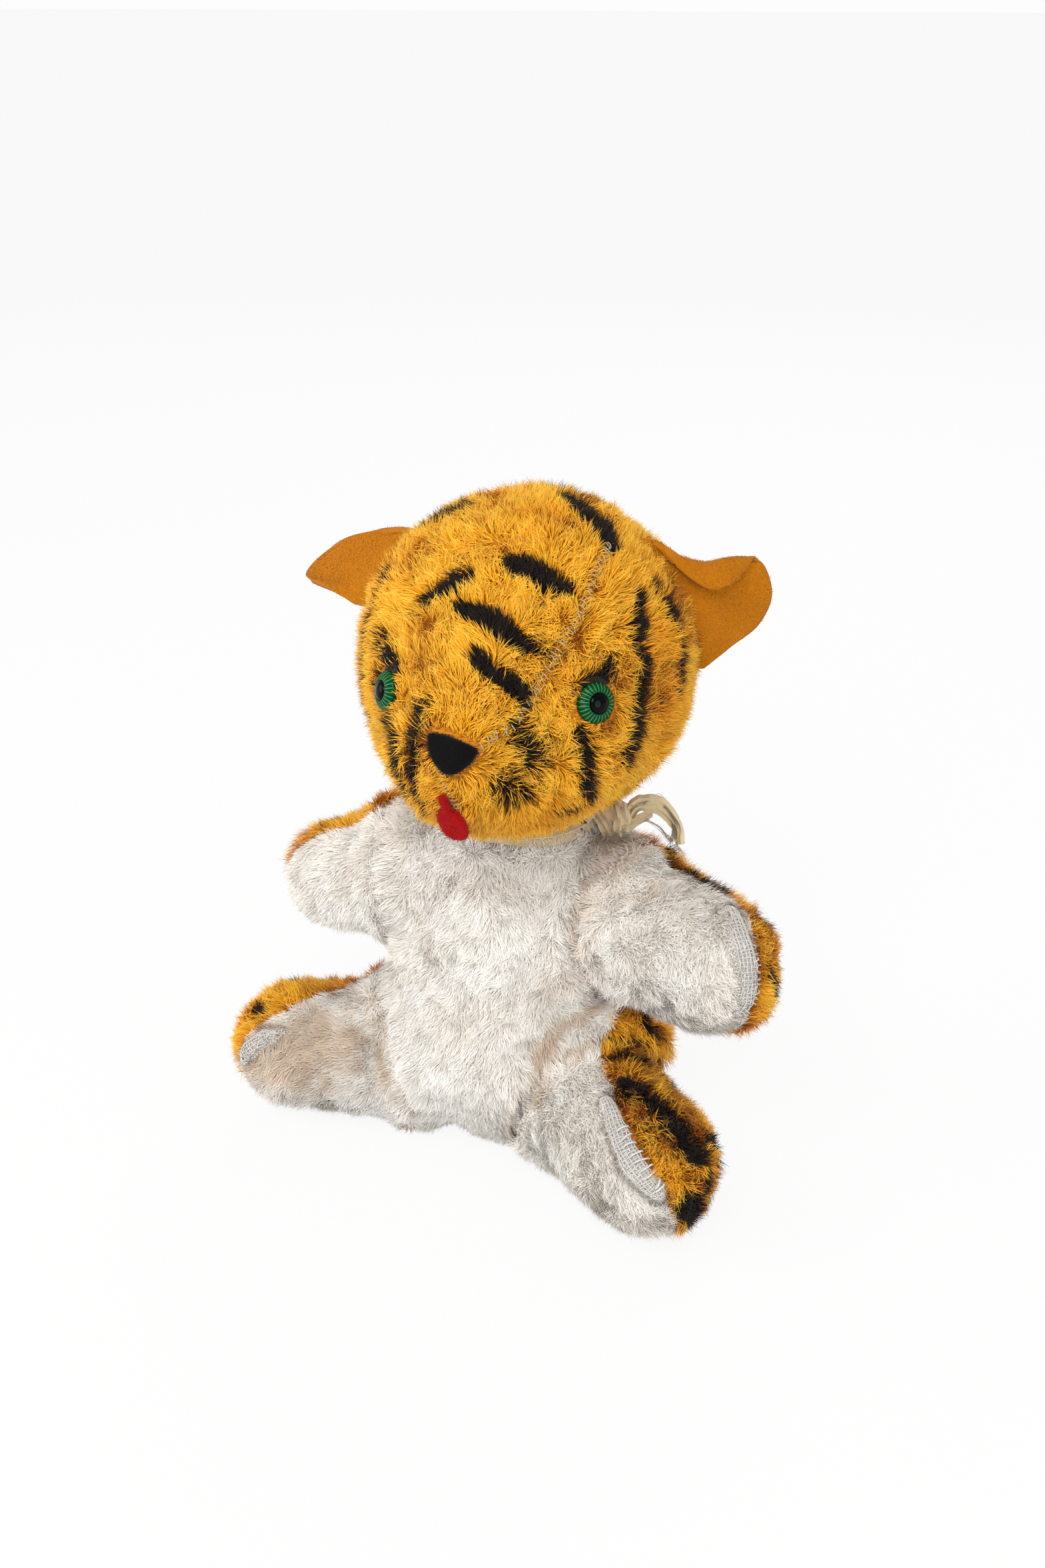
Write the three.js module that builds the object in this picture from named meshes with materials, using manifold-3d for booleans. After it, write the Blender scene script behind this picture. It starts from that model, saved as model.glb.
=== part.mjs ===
// A small sewn tiger that sits with its legs apart, about 22 cm tall.
// Millimetres and degrees, +Z up. The tiger faces -Y and its own left is +X.
// The origin is on the surface it sits on, under the middle of the torso.
import * as THREE from "three";
import { mergeVertices } from "three/addons/utils/BufferGeometryUtils.js";
import Module from "manifold-3d";

// Cloth and clearances
const plushThickness = 4.5; // knitted backing with its pile
const seamGap = 0.3; // between two pieces sewn edge to edge, or one filled with the other
const jointGap = 0.6; // at the round seats where the limbs and the head turn
const footCut = 0.5; // how far a stuffed form is pressed flat where it sits
const cutReach = 400; // reach of every cutting block

// Torso, a pear that leans a little to the tiger's left
const seatRadius = 27;
const bellyRadius = 43;
const bellyHeight = 27;
const waistRadius = 41;
const waistHeight = 58;
const chestRadius = 37;
const chestHeight = 86;
const collarRadius = 26;
const torsoTop = 113;
const torsoDepthShare = 0.86; // front to back against side to side
const torsoLeanShare = 0.035; // sideways shift for each unit of height

// Neck plug, the firm round pad of stuffing that carries the head
const neckRadius = 22;
const neckSink = 5; // the middle of the pad lies this far below the collar
const neckPivotHeight = torsoTop - neckSink;

// Arms, each swinging level round its shoulder
const shoulderHalfWidth = 25;
const shoulderHeight = 87;
const shoulderRadius = 25.5;
const armShape = { flatShare: 0.94, seamSkew: 0, swing: { min: -15, max: 18 } };
const arms = {
  left: { ...armShape, root: 24, swell: 25, paw: 23.5, length: 69, yaw: 72, droop: 6, seamRoll: 3 },
  right: { ...armShape, root: 23, swell: 23, paw: 20.5, length: 57, yaw: 78, droop: 11, seamRoll: 6 },
};

// Legs, each swinging level round its hip
const hipHalfWidth = 19;
const hipForward = 7;
const hipRadius = 26;
const legShape = { flatShare: 1, droop: 0, root: 25, swell: 25, paw: 24, swing: { min: -10, max: 12 } };
const legs = {
  left: { ...legShape, length: 77, yaw: 55, seamRoll: 19, seamSkew: -8 },
  right: { ...legShape, length: 73, yaw: 64, seamRoll: 16, seamSkew: 0 },
};
const hipHeight = legShape.swell - footCut;

// Head, a ball with a blunt muzzle
const headRadius = 48.5;
const headTallShare = 0.99;
const headHeight = 166;
const headForward = 4;
const headLeft = 2;
const headTurn = 8; // the face looks this far to the tiger's left
const muzzleRise = 16;
const muzzleSpread = 31;
const muzzleDrop = 17;
const muzzleSide = -2;
const cheekSide = 52;
const cheekDrop = 32;
const cheekSpread = 30;
const cheekRise = { left: 7, right: 1 };

// The forehead gusset: half width, depth and height of its seam at the nose, brow and ears
const gussetSeam = [
  [7, -60, -3],
  [19, -48, 12],
  [27, -11, 38],
];

// Ears, cut from felt and bent where they are sewn into the gusset seams
const feltThickness = 2;
const earInset = 3; // the sheet is drawn from below the surface and trimmed to it
const earFlap = { min: -6, max: 8 };
// Directions of the upper and lower end of the sewn edge, to the left of straight ahead and above it
const earRoots = {
  left: { top: [100, 52], low: [103, -6] },
  right: { top: [-104, 46], low: [-100, 6] },
};
const earSpread = 50; // the size that both ears follow
// The rim from the upper root round the tip to the lower root, in the head's frame
const earRimShares = {
  left: [
    [0.72, 0.12, 0.68],
    [0.82, 0.12, 0.54],
    [0.98, 0.18, 0.42],
    [1.1, 0.3, 0.44],
    [1.2, 0.48, 0.52],
    [1.28, 0.54, 0.32],
    [1.22, 0.52, 0.12],
    [1.08, 0.4, 0],
    [0.98, 0.28, -0.08],
  ],
  right: [
    [-0.9, 0.28, 0.56],
    [-1.1, 0.4, 0.5],
    [-1.32, 0.5, 0.38],
    [-1.5, 0.54, 0.24],
    [-1.58, 0.52, 0.12],
    [-1.4, 0.36, 0.14],
    [-1.22, 0.26, 0.12],
    [-1.1, 0.22, 0.1],
  ],
};
const earArch = { left: 6, right: 0.5 }; // the sheet arches up between its root and its rim

// Eyes: a ribbed disc moulded with its stem, a black pupil, and a washer behind the cloth
const eyeRadius = 6.8;
const eyeRim = 1;
const eyeDome = 2.4;
const eyeRibs = 24;
const eyeRibDepth = 0.4;
const eyeSink = 1.4; // the disc presses this far into the pile
const eyes = { left: { side: 37, above: 4 }, right: { side: 31, above: 2 } };
const pupilRadius = 3.3;
const pupilRise = 1.3;
const pupilSteps = 4;
const stemRadius = 1.5;
const stemLength = 9.5;
const washerRadius = 5.5;
const washerThickness = 1.2;

// Nose and tongue, cut from felt
const noseWidth = 14;
const noseHeight = 10.5;
const noseUp = -4;
const tongueWidth = 9;
const tongueLength = 9.5;
const tongueSlitWidth = 2.4;
const tongueSlitLength = 5;
const tongueSide = -4;
const mouthDrop = 19;
const tongueTilt = 12; // how far the hanging tongue leans back below the mouth

// Ribbon round the neck, tied over the tiger's left shoulder
const ribbonThickness = 0.9;
const ribbonWidth = 4.2;
const ribbonSlack = 0.6; // the band stands off the neck by this much
const knotRadius = 2.5;
const bowLength = 18;
const bowHeight = 4.8;
const bowWidth = 5;

// Tail, a thin sewn tube that lies curled behind
const tailRadius = 6.5;
const tailRoot = [0, 37, 17];
const tailLift = 0.3; // its clearance over the surface
const tailReach = 34;
const tailCurl = 42;
const tailSwing = { min: -12, max: 12 };

const wasm = await Module();
wasm.setup();
const up = new THREE.Vector3(0, 0, 1);
const radians = THREE.MathUtils.degToRad;
const sides = { left: 1, right: -1 };
const sideNames = Object.keys(sides);

const finish = (color, roughness = 0.95) =>
  new THREE.MeshStandardMaterial({ color, roughness, metalness: 0 });
const orangePlush = finish(0xe4a02c);
const whitePlush = finish(0xe1d9ce);
const stuffing = finish(0xd9d2c2);
const earFelt = finish(0xc8780f, 0.9);
const noseFelt = finish(0x141012, 0.9);
const tongueFelt = finish(0xc8000f, 0.85);
const eyeGreen = finish(0x006e28, 0.2);
const pupilBlack = finish(0x050505, 0.12);
const washerWhite = finish(0xe8e4da, 0.5);
const ribbonCloth = finish(0xd7be8f, 0.6);

// Joins shared vertices, so that the triangles close into one surface.
function solidOf(geometry, matrix = new THREE.Matrix4()) {
  const bare = geometry.clone().applyMatrix4(matrix);
  bare.deleteAttribute("normal");
  bare.deleteAttribute("uv");
  const merged = mergeVertices(bare, 1e-4);
  return new wasm.Manifold(
    new wasm.Mesh({
      numProp: 3,
      vertProperties: merged.attributes.position.array,
      triVerts: new Uint32Array(merged.index.array),
    }),
  );
}

const root = new THREE.Group();
function addPiece(name, solid, material) {
  const data = solid.getMesh();
  const geometry = new THREE.BufferGeometry();
  geometry.setAttribute("position", new THREE.BufferAttribute(data.vertProperties, 3));
  geometry.setIndex(new THREE.BufferAttribute(data.triVerts, 1));
  geometry.computeVertexNormals();
  const mesh = new THREE.Mesh(geometry, material);
  mesh.name = name;
  root.add(mesh);
}
const largestOf = (solid) =>
  solid.decompose().reduce((best, part) => (part.volume() > best.volume() ? part : best));

// A frame at a point whose +Z looks along a direction.
function frameAt(point, direction) {
  const turn = new THREE.Quaternion().setFromUnitVectors(up, direction.clone().normalize());
  return new THREE.Matrix4().compose(point, turn, new THREE.Vector3(1, 1, 1));
}

// The half of space on the far side of a plane, as a large block.
function beyond(point, normal) {
  const block = new THREE.BoxGeometry(cutReach, cutReach, cutReach);
  return solidOf(block.translate(0, 0, cutReach / 2), frameAt(point, normal));
}
const belowSeat = beyond(new THREE.Vector3(), up.clone().negate());

// A turned form round +Z from [radius, height] pairs, drawn up the outside.
function turned(profile, segments) {
  const points = profile.map(([radius, height]) => new THREE.Vector2(radius, height));
  return new THREE.LatheGeometry(points, segments).rotateX(Math.PI / 2);
}
function rodOf(radius, low, high, segments = 12) {
  return turned([[0, low], [radius, low], [radius, high], [0, high]], segments);
}
function ball(centre, radius, segments = 16) {
  const geometry = new THREE.SphereGeometry(radius, segments, segments / 2);
  return solidOf(geometry.rotateX(Math.PI / 2).translate(centre.x, centre.y, centre.z));
}
// The upper part of a ball from a height above its middle, as a profile for turning.
function domeProfile(radius, from, steps) {
  const start = Math.asin(from / radius);
  const rim = Array.from({ length: steps }, (_, i) => {
    const angle = start + (i / steps) * (Math.PI / 2 - start);
    return [radius * Math.cos(angle), radius * Math.sin(angle)];
  });
  return [[0, from], ...rim, [0, radius]];
}

// Takes out of a piece what a cutter sweeps over as the piece turns through a joint's range.
function clearOf(piece, cutter, pivot, axis, range) {
  return [range.min, 0, range.max].reduce((left, angle) => {
    const turn = new THREE.Matrix4()
      .makeTranslation(pivot.x, pivot.y, pivot.z)
      .multiply(new THREE.Matrix4().makeRotationAxis(axis, radians(-angle)))
      .multiply(new THREE.Matrix4().makeTranslation(-pivot.x, -pivot.y, -pivot.z));
    return left.subtract(cutter.transform(turn.elements));
  }, piece);
}
const mirrored = (range, side) =>
  side === "left" ? range : { min: -range.max, max: -range.min };

const lean = new THREE.Matrix4().makeShear(0, 0, 0, 0, torsoLeanShare, 0);
const leaned = (x, y, z) => new THREE.Vector3(x, y, z).applyMatrix4(lean);
const neckPivot = leaned(0, 0, neckPivotHeight);
const shoulder = (side) => leaned(sides[side] * shoulderHalfWidth, 0, shoulderHeight);
const hip = (side) => new THREE.Vector3(sides[side] * hipHalfWidth, -hipForward, hipHeight);

const torsoSegments = 20;
// The pear of the torso, drawn in by inset, closed above the collar.
function pearForm(inset, segments) {
  const flank = new THREE.SplineCurve([
    new THREE.Vector2(seatRadius, -footCut),
    new THREE.Vector2(bellyRadius, bellyHeight),
    new THREE.Vector2(waistRadius, waistHeight),
    new THREE.Vector2(chestRadius, chestHeight),
    new THREE.Vector2(collarRadius, torsoTop),
  ]);
  const floor = inset - footCut;
  const points = flank
    .getPoints(segments / 2)
    .filter((point) => point.y > floor)
    .map((point) => [point.x - inset, point.y]);
  const start = [points[0][0] - (points[0][1] - floor), floor];
  const top = [0, torsoTop + collarRadius / 2];
  const pear = turned([[0, floor], start, ...points, top], segments);
  return pear.scale(1, torsoDepthShare, 1).applyMatrix4(lean);
}
// The pear with the round seats of the arms and legs.
function torsoForm(inset, segments, hubSegments) {
  return sideNames.reduce(
    (form, side) =>
      form
        .add(ball(shoulder(side), shoulderRadius - inset, hubSegments))
        .add(ball(hip(side), hipRadius - inset, hubSegments)),
    solidOf(pearForm(inset, segments)),
  );
}

function addTorso() {
  const above = beyond(new THREE.Vector3(0, 0, torsoTop), up);
  const back = new THREE.Vector3(0, 1, 0);
  const skin = torsoForm(0, torsoSegments, 16)
    .subtract(above)
    .subtract(belowSeat)
    .subtract(torsoForm(plushThickness, 12, 12));
  const half = (offset, away) =>
    skin.subtract(beyond(back.clone().multiplyScalar(offset), away));
  addPiece("torso_front_panel", half(-seamGap / 2, back), whitePlush);
  addPiece("torso_back_panel", half(seamGap / 2, back.clone().negate()), orangePlush);
  const filling = torsoForm(plushThickness + seamGap, 12, 12).subtract(above);
  addPiece("torso_stuffing", filling, stuffing);

  const rise = torsoTop + seamGap - neckPivotHeight;
  const plug = turned(domeProfile(neckRadius, rise, 6), 24);
  addPiece("neck_stuffing", solidOf(plug.translate(...neckPivot)), stuffing);
}

// A limb along +Z from its joint: it swells a little and ends round.
function limbForm(size, inset, segments) {
  const capStart = size.length - size.paw;
  const capRadius = size.paw - inset;
  const steps = Math.round(segments / 4);
  const flank = new THREE.SplineCurve([
    new THREE.Vector2(size.root - inset, 0),
    new THREE.Vector2(size.swell - inset, capStart / 2),
    new THREE.Vector2(capRadius, capStart),
  ]).getPoints(steps);
  const cap = domeProfile(capRadius, 0, steps).slice(2);
  return turned(
    [[0, 0], ...flank.map((point) => [point.x, point.y]), ...cap.map(([r, z]) => [r, z + capStart])],
    segments,
  );
}

function addLimb(name, size, side, joint, seatRadiusHere) {
  const yaw = radians(size.yaw);
  const droop = radians(size.droop);
  const along = new THREE.Vector3(
    sides[side] * Math.sin(yaw) * Math.cos(droop),
    -Math.cos(yaw) * Math.cos(droop),
    -Math.sin(droop),
  );
  const rise = up.clone().addScaledVector(along, -along.dot(up)).normalize();
  const across = rise.clone().cross(along);
  const outward = across
    .clone()
    .multiplyScalar(sides[side])
    .applyAxisAngle(rise, radians(sides[side] * size.seamSkew))
    .applyAxisAngle(along, radians(sides[side] * size.seamRoll));
  const frame = new THREE.Matrix4()
    .makeBasis(across, rise, along)
    .scale(new THREE.Vector3(size.flatShare, 1, 1))
    .setPosition(joint);
  const seat = ball(joint, seatRadiusHere + jointGap);
  const pear = solidOf(pearForm(-jointGap, torsoSegments));
  const form = (inset, segments) =>
    clearOf(
      solidOf(limbForm(size, inset, segments), frame).subtract(seat),
      pear,
      joint,
      up,
      mirrored(size.swing, side),
    ).subtract(belowSeat);
  const skin = form(0, 16).subtract(solidOf(limbForm(size, plushThickness, 10), frame));
  const half = (offset, away) =>
    skin.subtract(beyond(joint.clone().addScaledVector(outward, offset), away));
  addPiece(`${name}_inner_panel`, half(-seamGap / 2, outward), whitePlush);
  addPiece(`${name}_outer_panel`, half(seamGap / 2, outward.clone().negate()), orangePlush);
  addPiece(`${name}_stuffing`, form(plushThickness + seamGap, 10), stuffing);
}

// The head's own frame has its origin in the middle of the ball.
const headMatrix = new THREE.Matrix4()
  .makeRotationZ(radians(headTurn))
  .setPosition(leaned(headLeft, -headForward, headHeight));
// A direction in that frame, so far to the left of straight ahead and so far above it.
function headDirection(left, above) {
  const side = radians(left);
  const lift = radians(above);
  return new THREE.Vector3(
    Math.sin(side) * Math.cos(lift),
    -Math.cos(side) * Math.cos(lift),
    Math.sin(lift),
  );
}
const bulges = [
  { axis: headDirection(muzzleSide, -muzzleDrop), rise: muzzleRise, spread: muzzleSpread },
  { axis: headDirection(cheekSide, -cheekDrop), rise: cheekRise.left, spread: cheekSpread },
  { axis: headDirection(-cheekSide, -cheekDrop), rise: cheekRise.right, spread: cheekSpread },
];
// Distance from the middle of the head to its surface along a direction.
function headReach(direction) {
  const oval = headRadius / Math.hypot(direction.x, direction.y, direction.z / headTallShare);
  return bulges.reduce((reach, { axis, rise, spread }) => {
    const angle = THREE.MathUtils.radToDeg(direction.angleTo(axis));
    return reach + rise * Math.exp(-((angle / spread) ** 2));
  }, oval);
}
function headForm(inset, segments) {
  const geometry = new THREE.SphereGeometry(1, segments, Math.round((segments * 2) / 3));
  const place = geometry.attributes.position;
  const direction = new THREE.Vector3();
  for (let i = 0; i < place.count; i += 1) {
    direction.fromBufferAttribute(place, i).normalize();
    direction.multiplyScalar(headReach(direction) - inset);
    place.setXYZ(i, direction.x, direction.y, direction.z);
  }
  return solidOf(geometry, headMatrix);
}
const skinSegments = 24;
const coreSegments = 15;

function headPoint(left, above, inset = 0) {
  const direction = headDirection(left, above);
  return direction.multiplyScalar(headReach(direction) - inset);
}
// A frame on the head whose +Z looks out of the surface and whose +Y is up the face.
function headFrame(left, above, inset = 0) {
  const step = 1;
  const across = headPoint(left + step, above).sub(headPoint(left - step, above));
  const rise = headPoint(left, above + step).sub(headPoint(left, above - step));
  const out = across.cross(rise).normalize();
  const upward = up.clone().addScaledVector(out, -out.dot(up)).normalize();
  const frame = new THREE.Matrix4().makeBasis(upward.clone().cross(out), upward, out);
  return headMatrix.clone().multiply(frame.setPosition(headPoint(left, above, inset)));
}

// What lies outside one seam of the gusset, which lies in a plane.
const faceMatrix = headMatrix.clone().multiply(new THREE.Matrix4().makeRotationZ(radians(muzzleSide)));
function outsideGusset(side, offset) {
  const sign = sides[side];
  const seam = gussetSeam.map(([half, depth, height]) =>
    new THREE.Vector3(sign * half, depth, height).applyMatrix4(faceMatrix),
  );
  const away = new THREE.Vector3(sign, 0, 0).transformDirection(faceMatrix);
  const { normal } = new THREE.Plane().setFromCoplanarPoints(...seam);
  normal.multiplyScalar(Math.sign(normal.dot(away)));
  return beyond(seam[0].addScaledVector(normal, offset), normal);
}

// A disc with ribs that run from the pupil to the rim, in one with its stem.
function eyeDisc() {
  const around = eyeRibs * 2;
  const rings = [
    [stemRadius, -stemLength, 0],
    [stemRadius, -eyeRim, 0],
    [eyeRadius, -eyeRim, 0],
    [eyeRadius, 0, 0],
    [(eyeRadius + pupilRadius) / 2, eyeDome / 2, 1],
    [pupilRadius, eyeDome / 2, 0],
  ];
  const positions = [0, 0, -stemLength];
  for (const [radius, height, ribbed] of rings) {
    for (let i = 0; i < around; i += 1) {
      const angle = (i / around) * 2 * Math.PI;
      const rib = ribbed * eyeRibDepth * (1 + Math.cos(eyeRibs * angle));
      positions.push(radius * Math.cos(angle), radius * Math.sin(angle), height + rib);
    }
  }
  positions.push(0, 0, eyeDome / 2);
  const top = rings.length * around + 1;
  const faces = [];
  for (let i = 0; i < around; i += 1) {
    const next = (i + 1) % around;
    faces.push(0, 1 + next, 1 + i);
    for (let ring = 0; ring < rings.length - 1; ring += 1) {
      const low = 1 + ring * around;
      const high = low + around;
      faces.push(low + i, low + next, high + next, low + i, high + next, high + i);
    }
    const last = top - around;
    faces.push(last + i, last + next, top);
  }
  const geometry = new THREE.BufferGeometry();
  geometry.setAttribute("position", new THREE.Float32BufferAttribute(positions, 3));
  return geometry.setIndex(faces);
}

function eyePieces(side) {
  const frame = headFrame(sides[side] * eyes[side].side, eyes[side].above, eyeSink);
  const pupilBase = eyeDome / 2 + seamGap;
  const pupil = Array.from({ length: pupilSteps + 1 }, (_, step) => {
    const angle = ((step / pupilSteps) * Math.PI) / 2;
    const radius = step === pupilSteps ? 0 : pupilRadius * Math.cos(angle);
    return [radius, pupilBase + pupilRise * Math.sin(angle)];
  });
  const hole = stemRadius + seamGap;
  const washerLow = -stemLength + washerThickness;
  const washerHigh = washerLow + washerThickness;
  const washer = [
    [hole, washerLow],
    [washerRadius, washerLow],
    [washerRadius, washerHigh],
    [hole, washerHigh],
    [hole, washerLow],
  ];
  const reach = washerRadius + seamGap;
  return {
    disc: solidOf(eyeDisc(), frame),
    pupil: solidOf(turned([[0, pupilBase], ...pupil], 20), frame),
    washer: solidOf(turned(washer, 16), frame),
    room: solidOf(rodOf(eyeRadius + seamGap, -eyeRim - seamGap, eyeRadius, 16), frame)
      .add(solidOf(rodOf(hole, -stemLength - seamGap, 0, 8), frame))
      .add(solidOf(rodOf(reach, washerLow - seamGap, washerHigh + seamGap, 12), frame)),
  };
}

// Felt cut to an outline and laid on the muzzle.
function feltOn(shape, frame) {
  const depth = headRadius / 2;
  const block = new THREE.ExtrudeGeometry(shape, { depth, bevelEnabled: false, curveSegments: 6 });
  return solidOf(block.translate(0, 0, -depth / 2), frame)
    .intersect(headForm(-seamGap - feltThickness, skinSegments))
    .subtract(headForm(-seamGap, skinSegments));
}
function noseShape() {
  const half = noseWidth / 2;
  const rise = noseHeight / 2;
  const shape = new THREE.Shape();
  shape.moveTo(-half, rise);
  shape.quadraticCurveTo(0, rise * 1.15, half, rise / 2);
  shape.quadraticCurveTo(half, -rise / 4, half / 4, -rise);
  shape.quadraticCurveTo(0, -rise * 1.15, -half / 4, -rise);
  shape.quadraticCurveTo(-half, -rise / 4, -half, rise);
  return shape;
}
function tongueShape() {
  const half = tongueWidth / 2;
  const slit = tongueSlitWidth / 2;
  const shape = new THREE.Shape();
  shape.moveTo(slit, tongueSlitLength);
  shape.lineTo(-slit, tongueSlitLength);
  shape.lineTo(-slit, 0);
  shape.quadraticCurveTo(-half, 0, -half, -tongueLength / 2);
  shape.quadraticCurveTo(-half, -tongueLength, 0, -tongueLength);
  shape.quadraticCurveTo(half, -tongueLength, half, -tongueLength / 2);
  shape.quadraticCurveTo(half, 0, slit, 0);
  shape.closePath();
  return shape;
}

// The tongue hangs from the mouth.
function addTongue() {
  const out = headDirection(tongueSide, -tongueTilt);
  const rise = up.clone().addScaledVector(out, -out.z).normalize();
  const mouth = headPoint(tongueSide, -mouthDrop, -seamGap);
  const frame = new THREE.Matrix4().makeBasis(rise.clone().cross(out), rise, out);
  const depth = feltThickness;
  const felt = new THREE.ExtrudeGeometry(tongueShape(), {
    depth,
    bevelEnabled: false,
    curveSegments: 6,
  });
  addPiece("tongue", solidOf(felt, headMatrix.clone().multiply(frame.setPosition(mouth))), tongueFelt);
}

// An ear as a bent sheet: u runs along its sewn edge and v out to its rim.
function addEar(side, head) {
  const along = 10;
  const outward = 6;
  const top = headPoint(...earRoots[side].top);
  const low = headPoint(...earRoots[side].low);
  const edge = low.clone().sub(top);
  const rim = new THREE.CatmullRomCurve3(
    earRimShares[side].map((point) => new THREE.Vector3(...point).multiplyScalar(earSpread)),
  );
  const middle = (u, v) => {
    const share = THREE.MathUtils.clamp(u, 0, 1);
    const direction = top.clone().lerp(low, share).normalize();
    const seat = direction.multiplyScalar(headReach(direction) - earInset);
    const arch = earArch[side] * Math.sin(Math.PI * v) * Math.sin(Math.PI * Math.sqrt(share)) ** 2;
    return seat.lerp(rim.getPoint(share), v).addScaledVector(up, arch);
  };
  const sheetPoint = (u, v, offset) => {
    const step = 1 / (along * outward);
    const across = middle(u + step, v).sub(middle(u - step, v));
    const out = middle(u, v + step).sub(middle(u, v - step));
    return middle(u, v).addScaledVector(across.cross(out).normalize(), offset);
  };
  const positions = [];
  for (const offset of [-feltThickness / 2, feltThickness / 2]) {
    for (let i = 0; i <= along; i += 1) {
      for (let j = 0; j <= outward; j += 1) {
        positions.push(...sheetPoint(i / along, j / outward, offset));
      }
    }
  }
  const row = outward + 1;
  const layer = (along + 1) * row;
  const faces = [];
  const quad = (a, b, c, d) => faces.push(a, b, c, a, c, d);
  for (let i = 0; i < along; i += 1) {
    for (let j = 0; j < outward; j += 1) {
      const a = i * row + j;
      quad(a, a + 1, a + row + 1, a + row);
      quad(layer + a, layer + a + row, layer + a + row + 1, layer + a + 1);
    }
    const inner = i * row;
    const outer = inner + outward;
    quad(inner, inner + row, layer + inner + row, layer + inner);
    quad(outer, layer + outer, layer + outer + row, outer + row);
  }
  for (let j = 0; j < outward; j += 1) {
    const last = along * row + j;
    quad(j, layer + j, layer + j + 1, j + 1);
    quad(last, last + 1, layer + last + 1, layer + last);
  }
  const geometry = new THREE.BufferGeometry();
  geometry.setAttribute("position", new THREE.Float32BufferAttribute(positions, 3));
  geometry.setIndex(faces);
  let sheet = solidOf(geometry, headMatrix);
  if (sheet.volume() < 0) sheet = solidOf(geometry.setIndex(faces.toReversed()), headMatrix);
  const pivot = top.clone().lerp(low, 0.5).applyMatrix4(headMatrix);
  const axis = edge.clone().transformDirection(headMatrix);
  addPiece(`ear_${side}`, largestOf(clearOf(sheet, head, pivot, axis, mirrored(earFlap, side))), earFelt);
}

function addHead() {
  const seat = ball(neckPivot, neckRadius + jointGap, 24);
  const core = (inset) => headForm(inset, coreSegments);
  let skin = headForm(0, skinSegments).subtract(seat).subtract(core(plushThickness));
  let filling = core(plushThickness + seamGap).subtract(seat);
  for (const side of sideNames) {
    const eye = eyePieces(side);
    skin = skin.subtract(eye.room);
    filling = filling.subtract(eye.room);
    addPiece(`eye_${side}`, eye.disc, eyeGreen);
    addPiece(`pupil_${side}`, eye.pupil, pupilBlack);
    addPiece(`eye_washer_${side}`, eye.washer, washerWhite);
    addEar(side, headForm(-seamGap, skinSegments));
  }
  const gusset = sideNames.reduce(
    (left, side) => left.subtract(outsideGusset(side, -seamGap / 2)),
    skin,
  );
  addPiece("head_gusset", largestOf(gusset), orangePlush);
  for (const side of sideNames) {
    const sign = sides[side];
    const away = new THREE.Vector3(sign, 0, 0).transformDirection(faceMatrix);
    const middle = new THREE.Vector3((sign * seamGap) / 2, 0, 0).applyMatrix4(faceMatrix);
    const cheek = skin.intersect(outsideGusset(side, seamGap / 2)).intersect(beyond(middle, away));
    addPiece(`head_side_${side}`, largestOf(cheek), orangePlush);
  }
  addPiece("head_stuffing", filling, stuffing);
  addPiece("nose", feltOn(noseShape(), headFrame(muzzleSide, noseUp)), noseFelt);
  addTongue();
}

// The band round the neck, its bow over the tiger's left shoulder and one loose end.
function addRibbon() {
  const inner = neckRadius + ribbonSlack;
  const outer = inner + ribbonThickness;
  const low = torsoTop + seamGap * 2;
  const high = low + ribbonWidth;
  const band = turned([[inner, low], [outer, low], [outer, high], [inner, high], [inner, low]], 28);
  const { x, y } = neckPivot;
  addPiece("neck_ribbon", solidOf(band.translate(x, y, 0)), ribbonCloth);

  const knot = new THREE.Vector3(x + outer + seamGap + knotRadius, y - knotRadius, low + knotRadius);
  const strip = (shape, width, along, rise) => {
    const side = along.clone().cross(rise).normalize();
    const upward = side.clone().cross(along).normalize();
    const frame = new THREE.Matrix4().makeBasis(along.clone().normalize(), upward, side);
    const settings = { depth: width, bevelEnabled: false, curveSegments: 7 };
    const geometry = new THREE.ExtrudeGeometry(shape, settings).translate(0, 0, -width / 2);
    return solidOf(geometry, frame.setPosition(knot));
  };
  const loop = (lengthShare, along) => {
    const half = (bowLength * lengthShare) / 2;
    const shape = new THREE.Shape().absellipse(half, 0, half, bowHeight / 2, 0, 2 * Math.PI);
    const hole = new THREE.Path().absellipse(
      half,
      0,
      half - ribbonThickness,
      bowHeight / 2 - ribbonThickness,
      0,
      2 * Math.PI,
    );
    shape.holes.push(hole);
    return strip(shape, bowWidth, along, up);
  };
  const bow = ball(knot, knotRadius, 12)
    .add(loop(1, new THREE.Vector3(0.9, 0.42, 0.02)))
    .add(loop(0.72, new THREE.Vector3(0.35, 0.92, 0)));
  addPiece("ribbon_bow", bow, ribbonCloth);
}

// The tail leaves the seat at the back, comes down and curls to the tiger's right.
function addTail() {
  const pivot = new THREE.Vector3(...tailRoot);
  const low = tailRadius + tailLift;
  const path = new THREE.CatmullRomCurve3([
    pivot,
    new THREE.Vector3(-tailCurl / 14, pivot.y + tailReach * 0.42, low + tailRadius / 3),
    new THREE.Vector3(-tailCurl * 0.34, pivot.y + tailReach * 0.82, low),
    new THREE.Vector3(-tailCurl * 0.68, pivot.y + tailReach, low),
    new THREE.Vector3(-tailCurl, pivot.y + tailReach * 0.96, low),
  ]);
  const round = new THREE.Shape().absarc(0, 0, tailRadius, 0, 2 * Math.PI);
  const tube = new THREE.ExtrudeGeometry(round, {
    steps: 10,
    curveSegments: 6,
    extrudePath: path,
    bevelEnabled: false,
  });
  const form = solidOf(tube)
    .add(ball(pivot, tailRadius, 12))
    .add(ball(path.getPoint(1), tailRadius, 12));
  const seat = solidOf(pearForm(-jointGap, torsoSegments));
  addPiece("tail", largestOf(clearOf(form, seat, pivot, up, tailSwing)), orangePlush);
}

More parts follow.
